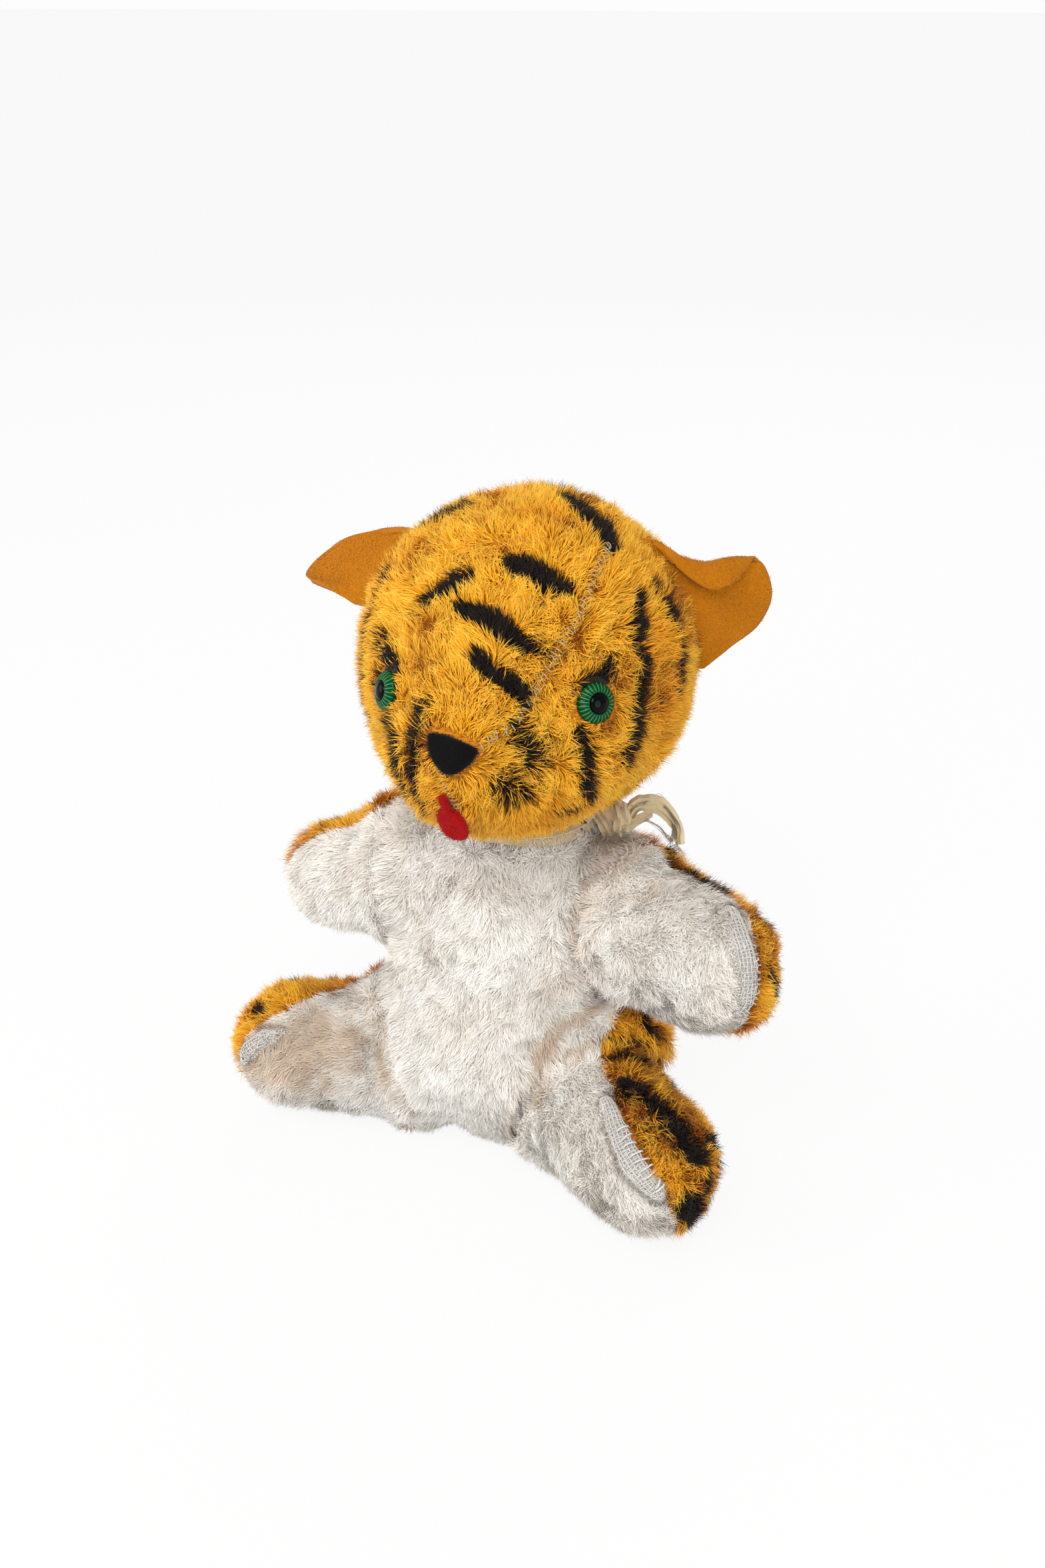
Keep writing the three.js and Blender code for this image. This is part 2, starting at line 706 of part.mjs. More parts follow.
addTorso();
addRibbon();
addTail();
for (const side of sideNames) {
  addLimb(`arm_${side}`, arms[side], side, shoulder(side), shoulderRadius);
  addLimb(`leg_${side}`, legs[side], side, hip(side), hipRadius);
}
addHead();

export default root;
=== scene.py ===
"""Dresses the sitting plush tiger: pile, felt, eyes, ribbon and sewing.

Everything is in metres in the frame's own axes. Lengths of the toy itself are written in millimetres.
"""

import logging
import math
from collections.abc import Iterator, Sequence
from dataclasses import dataclass, field
from enum import Enum
from functools import cache

import bmesh
import bpy
import numpy as np
from bpy.types import Material, Mesh, Node, NodeSocket, NodeTree, Object
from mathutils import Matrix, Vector
from mathutils.bvhtree import BVHTree


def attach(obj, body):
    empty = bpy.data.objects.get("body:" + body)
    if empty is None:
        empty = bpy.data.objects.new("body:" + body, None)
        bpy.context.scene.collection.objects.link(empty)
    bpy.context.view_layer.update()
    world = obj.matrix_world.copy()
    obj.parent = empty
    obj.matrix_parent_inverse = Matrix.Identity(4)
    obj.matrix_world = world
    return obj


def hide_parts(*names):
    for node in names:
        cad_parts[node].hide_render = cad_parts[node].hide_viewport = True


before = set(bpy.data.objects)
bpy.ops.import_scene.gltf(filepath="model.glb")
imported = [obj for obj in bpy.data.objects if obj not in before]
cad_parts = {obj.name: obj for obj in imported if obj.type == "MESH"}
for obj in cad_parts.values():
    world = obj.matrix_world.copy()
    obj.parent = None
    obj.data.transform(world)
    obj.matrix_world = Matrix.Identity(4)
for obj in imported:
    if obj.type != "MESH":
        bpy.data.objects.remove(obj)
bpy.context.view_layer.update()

log = logging.getLogger("tiger")
MM = 0.001
TINT = "tint"  # the colour of each vertex, read by the cloth and pile materials
GRID = "thread_grid"  # millimetres along and across the cloth, read by the weaves
BAKE_MAP = "OFBake"  # the texture map in which each strand of pile has a cell of its own
TINY = 1e-12
UP = np.array([0.0, 0.0, 1.0])

Array = np.ndarray
Point = tuple[float, float, float]
Colour = tuple[float, float, float]
Pair = tuple[float, float]


def srgb(red: int, green: int, blue: int) -> Colour:
    """Turns a colour of a picture into linear light."""
    share = [value / 255 for value in (red, green, blue)]
    return tuple(s / 12.92 if s <= 0.04045 else ((s + 0.055) / 1.055) ** 2.4 for s in share)


def unit(vectors: Array) -> Array:
    """Scales each vector to length one."""
    return vectors / np.maximum(np.linalg.norm(vectors, axis=-1, keepdims=True), TINY)


def smoothstep(low: float, high: float, value: Array) -> Array:
    """Goes smoothly from 0 at low to 1 at high."""
    share = np.clip((value - low) / (high - low), 0, 1)
    return share * share * (3 - 2 * share)


def flattened(vectors: Array, normals: Array) -> Array:
    """Takes out of vectors what points along the normals."""
    return vectors - (vectors * normals).sum(axis=-1, keepdims=True) * normals


def travel(path: Array) -> Array:
    """The way travelled along a path up to each of its points."""
    return np.concatenate([[0], np.cumsum(np.linalg.norm(np.diff(path, axis=0), axis=1))])


def laid(path: Sequence[Point], tree: BVHTree) -> Array:
    """Lays a path of points in millimetres onto the cloth, in metres."""
    return np.array([tree.find_nearest(Vector(point) * MM)[0] for point in path])


def stretches(points: Array, path: Array) -> Iterator[tuple[Array, Array, Array, Array]]:
    """Goes along a path from point to point.

    Args:
        points: Places beside it.
        path: Its points.

    Yields:
        The stretch, and for each place the share of the stretch at which its nearest point lies, the way
        from there to the place, and the length of that way.
    """
    for start, end in zip(path[:-1], path[1:], strict=True):
        along = end - start
        share = np.clip((points - start) @ along / max(along @ along, TINY), 0, 1)
        away = points - start - share[:, None] * along
        yield along, share, away, np.linalg.norm(away, axis=1)


class Noise:
    """Smooth random values over space, the same at each run."""

    cells = 256

    def __init__(self, seed: int) -> None:
        """Fills the lattice.

        Args:
            seed: Picks one of the fields.
        """
        rng = np.random.default_rng(seed)
        self.order = rng.permutation(self.cells)
        self.values = rng.uniform(-1, 1, self.cells)

    def at(self, points: Array, size: float) -> Array:
        """Reads the field.

        Args:
            points: Places, one to a row.
            size: Distance over which the field changes.

        Returns:
            One value from -1 to 1 for each place.
        """
        place = points / size
        cell = np.floor(place).astype(int)
        part = place - cell
        part = part * part * (3 - 2 * part)
        found = np.zeros(len(points))
        last = self.cells - 1
        for corner in np.ndindex(2, 2, 2):
            x, y, z = ((cell + corner) & last).T
            value = self.values[self.order[(self.order[(self.order[x] + y) & last] + z) & last]]
            found += value * np.prod(np.where(corner, part, 1 - part), axis=1)
        return found

    def vector(self, points: Array, size: float) -> Array:
        """Reads three fields side by side as a vector at each place."""
        shifts = (0.0, 37.3, 71.9)
        return np.stack([self.at(points + size * shift, size) for shift in shifts], axis=1)


@dataclass(frozen=True)
class Zone:
    """A band on the cloth along a path of points in millimetres, such as a stripe."""

    path: tuple[Point, ...]
    width: float
    fuzz: float = 1.0
    strength: float = 1.0
    taper: float = 0.4

    def cover(self, points: Array, wobble: Array, tree: BVHTree) -> Array:
        """Says how far the band covers each place.

        Args:
            points: Places on the cloth, in metres.
            wobble: A value from -1 to 1 for each place that frays the edge.
            tree: The cloth, onto which the path is laid.

        Returns:
            A share from 0 to 1 for each place.
        """
        best, place = np.full(len(points), np.inf), np.zeros(len(points))
        for number, (_, share, _, away) in enumerate(stretches(points, laid(self.path, tree))):
            place = np.where(away < best, (number + share) / (len(self.path) - 1), place)
            best = np.minimum(best, away)
        nearest = best / MM + wobble * self.fuzz
        half = self.width / 2 * (1 - self.taper * np.abs(2 * place - 1) ** 3)
        return self.strength * (1 - smoothstep(half - self.fuzz, half + self.fuzz, nearest))


@dataclass(frozen=True)
class Seam:
    """Where the white and the orange cloth are sewn together, as points in millimetres."""

    path: tuple[Point, ...]
    orange: Point
    reach: float = 11.0

    def side(self, points: Array, tree: BVHTree) -> tuple[Array, Array]:
        """Finds the side of the seam on which each place lies.

        Args:
            points: Places on the cloth, in metres.
            tree: The cloth, onto which the path is laid.

        Returns:
            Millimetres from the seam, above 0 on the white cloth, and whether the place is near it.
        """
        best, found = np.full(len(points), np.inf), np.zeros(len(points))
        for along, _, away, gap in stretches(points, laid(self.path, tree)):
            along = unit(along)
            way = unit(np.array(self.orange) - along * (along @ self.orange))
            closer = gap < best
            found[closer] = -np.sign(away[closer] @ way) * gap[closer] / MM
            best = np.minimum(best, gap)
        return found, best < self.reach * MM


@dataclass(frozen=True)
class Bulge:
    """A place where the filling pushes the cloth out, in millimetres."""

    centre: Point
    way: Point
    height: float
    spread: float

    def push(self, points: Array) -> Array:
        """How far each point moves."""
        away = np.linalg.norm(points / MM - np.array(self.centre), axis=1)
        share = np.exp(-((away / self.spread) ** 2))[:, None]
        return share * unit(np.array(self.way, float)) * self.height * MM


@dataclass(frozen=True)
class HeadForm:
    """The ball of the head with its muzzle and cheeks, as in the solids."""

    radius: float = 48.5
    tall_share: float = 0.99
    centre: Point = (7.81, -4.0, 166.0)
    turn: float = 8.0
    bulges: tuple[tuple[float, float, float, float], ...] = (
        (-2, -17, 16, 31),
        (52, -32, 7, 30),
        (-52, -32, 1, 30),
    )

    @staticmethod
    def direction(left: float, above: float) -> Array:
        """The way to look for angles to the left of straight ahead and above it."""
        side, lift = math.radians(left), math.radians(above)
        flat = math.cos(lift)
        return np.array([math.sin(side) * flat, -math.cos(side) * flat, math.sin(lift)])

    def reach(self, way: Array) -> float:
        """Distance from the middle of the head to its surface along a way."""
        found = self.radius / math.hypot(way[0], way[1], way[2] / self.tall_share)
        for left, above, rise, spread in self.bulges:
            angle = math.degrees(math.acos(float(np.clip(way @ self.direction(left, above), -1, 1))))
            found += rise * math.exp(-((angle / spread) ** 2))
        return found

    def placed(self, local: Array) -> Array:
        """Moves points from the head's frame in millimetres to the toy's frame in millimetres."""
        turn = math.radians(self.turn)
        x, y, z = np.asarray(local, float).T
        moved = (x * math.cos(turn) - y * math.sin(turn), x * math.sin(turn) + y * math.cos(turn), z)
        return np.stack(moved, axis=-1) + np.array(self.centre)

    def spot(self, left: float, above: float) -> Point:
        """The point of the surface in a direction, in the toy's frame in millimetres."""
        way = self.direction(left, above)
        return tuple(self.placed(way * self.reach(way)))


HEAD = HeadForm()


# Node trees


class Tree:
    """A node tree with short calls to fill it."""

    def __init__(self, tree: NodeTree) -> None:
        """Takes a tree and empties it."""
        self.tree = tree
        tree.nodes.clear()

    def add(self, kind: str, **settings: object) -> Node:
        """Adds a node.

        Args:
            kind: The node's type without the words ShaderNode.
            settings: Its settings by name.

        Returns:
            The node.
        """
        node = self.tree.nodes.new("ShaderNode" + kind)
        for name, value in settings.items():
            setattr(node, name, value)
        return node

    def put(self, value: object, socket: NodeSocket) -> None:
        """Links an output to an input, or sets the input to a number or a colour."""
        if isinstance(value, NodeSocket):
            self.tree.links.new(value, socket)
        else:
            socket.default_value = value

    def feed(self, node: Node, *places: object, **values: object) -> Node:
        """Sets or links inputs of a node.

        Args:
            node: The node.
            places: Numbers, colours or outputs for its inputs in their order.
            values: The same by the input's name, with _ for a space.

        Returns:
            The same node.
        """
        for value, socket in zip(places, node.inputs, strict=False):
            self.put(value, socket)
        for name, value in values.items():
            self.put(value, node.inputs[name.replace("_", " ")])
        return node

    def math(self, operation: str, *values: object, clamp: bool = False) -> NodeSocket:
        """Adds a sum, product or other operation and returns its output."""
        return self.feed(self.add("Math", operation=operation, use_clamp=clamp), *values).outputs[0]

    def mix(self, share: object, first: object, second: object, blend: str = "MIX") -> NodeSocket:
        """Mixes two colours and returns the result."""
        node = self.add("Mix", data_type="RGBA", blend_type=blend)
        for place, value in ((0, share), (6, first), (7, second)):
            self.put((*value, 1) if isinstance(value, tuple) else value, node.inputs[place])
        return node.outputs[2]

    def noise(self, vector: NodeSocket, scale: object, detail: float = 3.0) -> NodeSocket:
        """Adds a noise pattern and returns its value."""
        return self.feed(self.add("TexNoise"), Vector=vector, Scale=scale, Detail=detail).outputs["Fac"]

    def show(self, output: str, share: object, first: Node, second: Node) -> None:
        """Ends the tree with a mix of two shaders.

        Args:
            output: The type of the output node without the words ShaderNode.
            share: How much of the second shader shows.
            first: One shader.
            second: The other.
        """
        both = self.feed(self.add("MixShader"), share, first.outputs[0], second.outputs[0])
        self.feed(self.add(output), Surface=both.outputs[0])


class Effect(Tree):
    """A shader node group with named inputs and outputs."""

    def __init__(self, name: str, inputs: dict[str, object], outputs: tuple[str, ...]) -> None:
        """Starts the group.

        Args:
            name: Its name.
            inputs: Default values by input name. A colour has four numbers, a vector three.
            outputs: Names of the outputs. The one named Colour is a colour, the others are numbers.
        """
        super().__init__(bpy.data.node_groups.new(name, "ShaderNodeTree"))
        kinds = {1: "NodeSocketFloat", 3: "NodeSocketVector", 4: "NodeSocketColor"}
        for title, value in inputs.items():
            kind = kinds[len(value) if isinstance(value, tuple) else 1]
            socket = self.tree.interface.new_socket(title, in_out="INPUT", socket_type=kind)
            socket.default_value = value
        for title in outputs:
            kind = kinds[4 if title == "Colour" else 1]
            self.tree.interface.new_socket(title, in_out="OUTPUT", socket_type=kind)
        self.given = self.tree.nodes.new("NodeGroupInput").outputs
        self.end = self.tree.nodes.new("NodeGroupOutput")


class Effects:
    """The effects that more than one material uses, each built once."""

    @staticmethod
    @cache
    def mottle() -> NodeTree:
        """Colour that changes a little from place to place, in broad and in fine patches."""
        inputs = {"Colour": (0.5, 0.5, 0.5, 1.0), "Broad": 90.0, "Fine": 900.0, "Amount": 0.2}
        group = Effect("uneven dye", inputs, ("Colour", "Patches"))
        place = group.add("TexCoord").outputs["Object"]
        broad = group.noise(place, group.given["Broad"])
        fine = group.noise(place, group.given["Fine"], 2.0)
        both = group.math("ADD", group.math("MULTIPLY", broad, 0.6), group.math("MULTIPLY", fine, 0.4))
        swing = group.math("MULTIPLY", group.math("SUBTRACT", both, 0.5), group.given["Amount"])
        level = group.math("ADD", group.math("MULTIPLY", swing, 2.0), 1.0)
        scaled = group.add("VectorMath", operation="SCALE")
        group.feed(scaled, Vector=group.given["Colour"], Scale=level)
        group.feed(group.end, Colour=scaled.outputs[0], Patches=both)
        return group.tree

    @staticmethod
    @cache
    def weave() -> NodeTree:
        """Threads that cross over and under each other on a grid."""
        inputs = {"Grid": (0.0, 0.0, 0.0), "Threads": 1.1}
        group = Effect("crossing threads", inputs, ("Height", "Holes"))
        apart = group.feed(group.add("SeparateXYZ"), group.given["Grid"])
        waves = []
        for axis in "XY":
            count = group.math("MULTIPLY", apart.outputs[axis], group.given["Threads"])
            waves.append(group.math("SINE", group.math("MULTIPLY", count, math.pi)))
        ridges = [group.math("ABSOLUTE", wave) for wave in waves]
        over = group.math("GREATER_THAN", group.math("MULTIPLY", *waves), 0.0)
        first = group.math("MULTIPLY", over, ridges[0])
        second = group.math("MULTIPLY", group.math("SUBTRACT", 1.0, over), ridges[1])
        filled = group.math("MULTIPLY", group.math("MAXIMUM", *ridges), 1.6)
        holes = group.math("SUBTRACT", 1.0, filled, clamp=True)
        group.feed(group.end, Height=group.math("ADD", first, second), Holes=holes)
        return group.tree

    @staticmethod
    @cache
    def fibres() -> NodeTree:
        """The matted fibres of felt, as a height and as a mask of the raised ones."""
        group = Effect("matted fibres", {"Scale": 1500.0}, ("Height", "Raised"))
        place = group.add("TexCoord").outputs["Object"]
        bent = group.feed(group.add("TexNoise"), Vector=place, Scale=400.0, Detail=2.0)
        warp = group.add("VectorMath", operation="MULTIPLY_ADD")
        group.feed(warp, bent.outputs["Color"], (0.002, 0.002, 0.002), place)
        lines = group.add("TexNoise", noise_type="RIDGED_MULTIFRACTAL")
        group.feed(lines, Vector=warp.outputs[0], Scale=group.given["Scale"], Detail=3.0)
        height = lines.outputs["Fac"]
        raised = group.feed(group.add("MapRange"), Value=height, From_Min=0.6, From_Max=1.6)
        group.feed(group.end, Height=height, Raised=raised.outputs[0])
        return group.tree


class Paint(Tree):
    """A material with one shader, whose constants sit on the shader's own sockets."""

    def __init__(self, name: str, **constants: object) -> None:
        """Makes the material.

        Args:
            name: Its name.
            constants: Values of the shader's sockets by name, with _ for a space.
        """
        self.material = bpy.data.materials.new(name)
        self.material.use_nodes = True
        super().__init__(self.material.node_tree)
        self.shader = self.feed(self.add("BsdfPrincipled"), **constants)
        self.feed(self.add("OutputMaterial"), Surface=self.shader.outputs[0])

    def group(self, tree: NodeTree, **values: object) -> Node:
        """Places a node group with its own values."""
        return self.feed(self.add("Group", node_tree=tree), **values)

    def tint(self) -> NodeSocket:
        """The colour stored at each vertex."""
        return self.add("Attribute", attribute_name=TINT).outputs["Color"]

    def grid(self) -> NodeSocket:
        """The place on the cloth stored at each vertex."""
        return self.add("Attribute", attribute_name=GRID).outputs["Vector"]

    def bump(self, height: NodeSocket, depth: float) -> NodeSocket:
        """Turns a height into a normal.

        Args:
            height: From 0 to 1.
            depth: What a height of 1 stands for, in millimetres.

        Returns:
            The normal.
        """
        return self.feed(self.add("Bump"), Height=height, Distance=depth * MM).outputs[0]


@dataclass(frozen=True)
class PileFinish:
    """The loose fibres of plush."""

    name: str = "plush pile"
    amount: float = 0.16

    def build(self) -> Material:
        """Makes the material."""
        paint = Paint(
            self.name, Roughness=0.85, Sheen_Weight=0.06, Sheen_Roughness=0.6, Specular_IOR_Level=0.12
        )
        dye = paint.group(Effects.mottle(), Colour=paint.tint(), Broad=110.0, Fine=700.0, Amount=self.amount)
        paint.feed(paint.shader, Base_Color=dye.outputs["Colour"])
        return paint.material


@dataclass(frozen=True)
class BackingFinish:
    """The woven cloth that the pile stands on, seen where the pile is gone."""

    name: str = "woven backing"
    threads: float = 1.1
    shade: Colour = srgb(120, 96, 78)

    def build(self) -> Material:
        """Makes the material."""
        paint = Paint(self.name, Roughness=0.9, Sheen_Weight=0.1, Specular_IOR_Level=0.2)
        dye = paint.group(Effects.mottle(), Colour=paint.tint(), Amount=0.12)
        threads = paint.group(Effects.weave(), Grid=paint.grid(), Threads=self.threads)
        holes = paint.math("MULTIPLY", threads.outputs["Holes"], 0.8)
        colour = paint.mix(holes, dye.outputs["Colour"], self.shade, "MULTIPLY")
        normal = paint.bump(threads.outputs["Height"], 0.35)
        paint.feed(paint.shader, Base_Color=colour, Normal=normal)
        return paint.material


@dataclass(frozen=True)
class FeltFinish:
    """Wool felt, with a lit copy of its colour painted on the raised fibres and a shaded copy between them.
    """

    name: str
    # light is painted highlight on the raised fibres, the second colour painted shade between them
    light: Colour
    fibre_shade: Colour
    roughness: float = 0.9

    def build(self) -> Material:
        """Makes the material."""
        paint = Paint(self.name, Roughness=self.roughness, Sheen_Weight=0.08, Specular_IOR_Level=0.12)
        fibres = paint.group(Effects.fibres())
        # Raised fibres get the painted highlight, the rest the painted shade
        mixed = paint.mix(fibres.outputs["Raised"], self.fibre_shade, self.light)
        dye = paint.group(Effects.mottle(), Colour=mixed, Broad=120.0, Fine=1800.0, Amount=0.3)
        normal = paint.bump(fibres.outputs["Height"], 0.12)
        paint.feed(paint.shader, Base_Color=dye.outputs["Colour"], Normal=normal)
        return paint.material


@dataclass(frozen=True)
class EyeFinish:
    """Glossy plastic, with a painted glint on the crests of the ribs where the mesh says so."""

    name: str
    body: Colour
    rib_glint: Colour
    amount: float = 0.2
    gloss: float = 0.35

    def build(self) -> Material:
        """Makes the material."""
        paint = Paint(self.name, Specular_IOR_Level=self.gloss)
        body = (*self.body, 1.0)
        dye = paint.group(Effects.mottle(), Colour=body, Broad=500.0, Fine=2500.0, Amount=self.amount)
        colour = paint.mix(paint.tint(), dye.outputs["Colour"], self.rib_glint)
        scratch = paint.math("MULTIPLY_ADD", dye.outputs["Patches"], 0.12, 0.04)
        paint.feed(paint.shader, Base_Color=colour, Roughness=scratch)
        return paint.material


@dataclass(frozen=True)
class RibbonFinish:
    """Thin ribbon of crossing threads, creased and a little dirty, with painted shade in the gaps between the
    threads.
    """

    name: str = "ribbon cloth"
    cloth: Colour = srgb(244, 224, 182)
    # painted shade in the gaps between the threads
    crevice_shade: Colour = srgb(214, 184, 132)

    def build(self) -> Material:
        """Makes the material."""
        paint = Paint(self.name, Roughness=0.55, Sheen_Weight=0.3)
        threads = paint.group(Effects.weave(), Grid=paint.grid(), Threads=2.6)
        dye = paint.group(Effects.mottle(), Colour=(*self.cloth, 1.0), Broad=260.0, Fine=1500.0, Amount=0.2)
        # The gaps between the threads get the painted shade
        shaded_gaps = paint.math("MULTIPLY", threads.outputs["Holes"], 0.7)
        soiled = paint.mix(shaded_gaps, dye.outputs["Colour"], self.crevice_shade)
        normal = paint.bump(threads.outputs["Height"], 0.12)
        paint.feed(paint.shader, Base_Color=soiled, Normal=normal)
        return paint.material


@dataclass(frozen=True)
class ThreadFinish:
    """Sewing thread of twisted strands."""

    name: str
    colour: Colour

    def build(self) -> Material:
        """Makes the material."""
        paint = Paint(self.name, Roughness=0.7, Sheen_Weight=0.2)
        twist = paint.add("TexWave", bands_direction="DIAGONAL")
        paint.feed(twist, Vector=paint.grid(), Scale=1.2, Distortion=0.6)
        dye = paint.group(Effects.mottle(), Colour=(*self.colour, 1.0), Broad=300.0, Fine=2500.0, Amount=0.25)
        normal = paint.bump(twist.outputs["Fac"], 0.08)
        paint.feed(paint.shader, Base_Color=dye.outputs["Colour"], Normal=normal)
        return paint.material


@dataclass(frozen=True)
class FloorFinish:
    """A pale floor that keeps the toy's shadow."""

    name: str = "pale floor"
    grey: float = 0.78
    glow: float = 0.9

    def build(self) -> Material:
        """Makes the material."""
        material = bpy.data.materials.new(self.name)
        material.use_nodes = True
        tree = Tree(material.node_tree)
        matt = tree.feed(tree.add("BsdfDiffuse"), Color=(self.grey, self.grey, self.grey, 1))
        glow = tree.feed(tree.add("Emission"), Color=(1, 1, 1, 1), Strength=1.0)
        path = tree.add("LightPath").outputs
        seen = tree.math("MAXIMUM", path["Is Camera Ray"], path["Is Glossy Ray"])
        seen = tree.math("MAXIMUM", seen, path["Is Transmission Ray"])
        tree.show("OutputMaterial", tree.math("MULTIPLY", seen, self.glow), matt, glow)
        return material


# Meshes


def linked(name: str, data: bpy.types.ID) -> Object:
    """Makes an object of a mesh, a lamp or a camera and puts it in the scene."""
    obj = bpy.data.objects.new(name, data)
    bpy.context.scene.collection.objects.link(obj)
    return obj


def placed(name: str, body: str, mesh: Mesh, material: Material) -> Object:
    """Puts a mesh in the scene and lets it ride on its body."""
    mesh.materials.append(material)
    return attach(linked(name, mesh), body)


def mesh_of(name: str, points: Array, faces: Array) -> Mesh:
    """Makes a mesh that is shaded smooth."""
    mesh = bpy.data.meshes.new(name)
    mesh.from_pydata(points.tolist(), [], faces.tolist())
    mesh.validate()
    mesh.polygons.foreach_set("use_smooth", np.ones(len(mesh.polygons), bool))
    return mesh


def store(mesh: Mesh, tint: Array, grid: Array | None = None) -> None:
    """Writes the finish of each vertex on a mesh.

    Args:
        mesh: The mesh.
        tint: Three numbers of colour for each vertex.
        grid: Its place on the cloth, or None.
    """
    colour = np.c_[tint, np.ones(len(tint))].astype(np.float32)
    mesh.color_attributes.new(TINT, "FLOAT_COLOR", "POINT").data.foreach_set("color", colour.ravel())
    if grid is not None:
        made = mesh.attributes.new(GRID, "FLOAT_VECTOR", "POINT")
        made.data.foreach_set("vector", grid.astype(np.float32).ravel())


def net_faces(number: Array) -> Array:
    """The four-sided faces of a net, from the numbers of its points in rows and columns."""
    corners = (number[:-1, :-1], number[1:, :-1], number[1:, 1:], number[:-1, 1:])
    return np.stack([part.ravel() for part in corners], axis=1)


@dataclass
class Build:
    """Vertices and faces on their way to becoming a mesh, with a grid and a tint at each vertex."""

    points: list[Array] = field(default_factory=list)
    faces: list[Array] = field(default_factory=list)
    grids: list[Array] = field(default_factory=list)
    tints: list[Array] = field(default_factory=list)
    count: int = 0

    def net(self, points: Array, grid: Array, closed: bool = False, tint: Array | None = None) -> None:
        """Adds a net of four-sided faces.

        Args:
            points: Rows and columns of places.
            grid: Millimetres along and across at each place.
            closed: Whether the columns join up with their start.
            tint: A value from 0 to 1 at each place.
        """
        rows, columns = points.shape[:2]
        number = np.arange(rows * columns).reshape(rows, columns) + self.count
        if closed:
            number = np.concatenate([number, number[:, :1]], axis=1)
        self.faces.append(net_faces(number)[:, [0, 3, 2, 1]])
        self.points.append(points.reshape(-1, 3))
        self.grids.append(np.c_[grid.reshape(-1, 2), np.zeros(rows * columns)])
        self.tints.append(np.zeros(rows * columns) if tint is None else tint.ravel())
        self.count += rows * columns

    def tube(self, path: Array, radius: float, sides: int = 6) -> None:
        """Adds a round thread along a path.

        Args:
            path: Its middle line, in metres.
            radius: Its radius.
            sides: Its number of sides.
        """
        ways = unit(np.gradient(path, axis=0))
        helper = np.where(np.abs(ways[:, 2:3]) > 0.9, [[1.0, 0.0, 0.0]], [[0.0, 0.0, 1.0]])
        across = unit(np.cross(ways, helper))
        rise = np.cross(across, ways)
        angle = np.arange(sides) / sides * math.tau
        ring = across[:, None] * np.cos(angle)[None, :, None] + rise[:, None] * np.sin(angle)[None, :, None]
        grid = np.stack(np.broadcast_arrays((travel(path) / MM)[:, None], angle[None]), axis=-1)
        self.net(path[:, None] + ring * radius, grid, closed=True)
        fan = range(1, sides - 2, 2)
        for first in (self.count - len(path) * sides, self.count - sides):
            self.faces.append(np.array([[first, first + i, first + i + 1, first + i + 2] for i in fan]))

    def done(self, name: str, body: str, material: Material) -> Object:
        """Makes the object, which then rides on its body.

        Args:
            name: The object's name.
            body: The body it moves with.
            material: Its finish.

        Returns:
            The object.
        """
        mesh = mesh_of(name, np.concatenate(self.points), np.concatenate(self.faces))
        store(mesh, np.repeat(np.concatenate(self.tints)[:, None], 3, axis=1), np.concatenate(self.grids))
        return placed(name, body, mesh, material)


def cad(node: str) -> Mesh:
    """The mesh of a CAD node."""
    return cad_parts[node].data


def search_tree(*meshes: Mesh) -> BVHTree:
    """A search tree over meshes."""
    points, faces = [], []
    for mesh in meshes:
        start = len(points)
        points.extend(vertex.co.copy() for vertex in mesh.vertices)
        faces.extend([start + i for i in face.vertices] for face in mesh.polygons)
    return BVHTree.FromPolygons(points, faces)


def edges_of(faces: Array) -> Array:
    """The edges of four-sided faces, each once for each face beside it."""
    return np.concatenate([faces[:, [k, (k + 1) % 4]] for k in range(4)])


def largest(points: Array, faces: Array) -> tuple[Array, Array]:
    """Keeps the largest of the pieces that hang together.

    Args:
        points: The points of all.
        faces: Their four-sided faces.

    Returns:
        Its points and its faces.
    """
    label = np.arange(len(points))
    first, second = edges_of(faces).T
    before = None
    while before is None or (label != before).any():
        before = label.copy()
        low = np.minimum(label[first], label[second])
        np.minimum.at(label, first, low)
        np.minimum.at(label, second, low)
        label = label[label]
    kept = label == np.bincount(label).argmax()
    number = np.cumsum(kept) - 1
    return points[kept], number[faces[kept[faces[:, 0]]]]


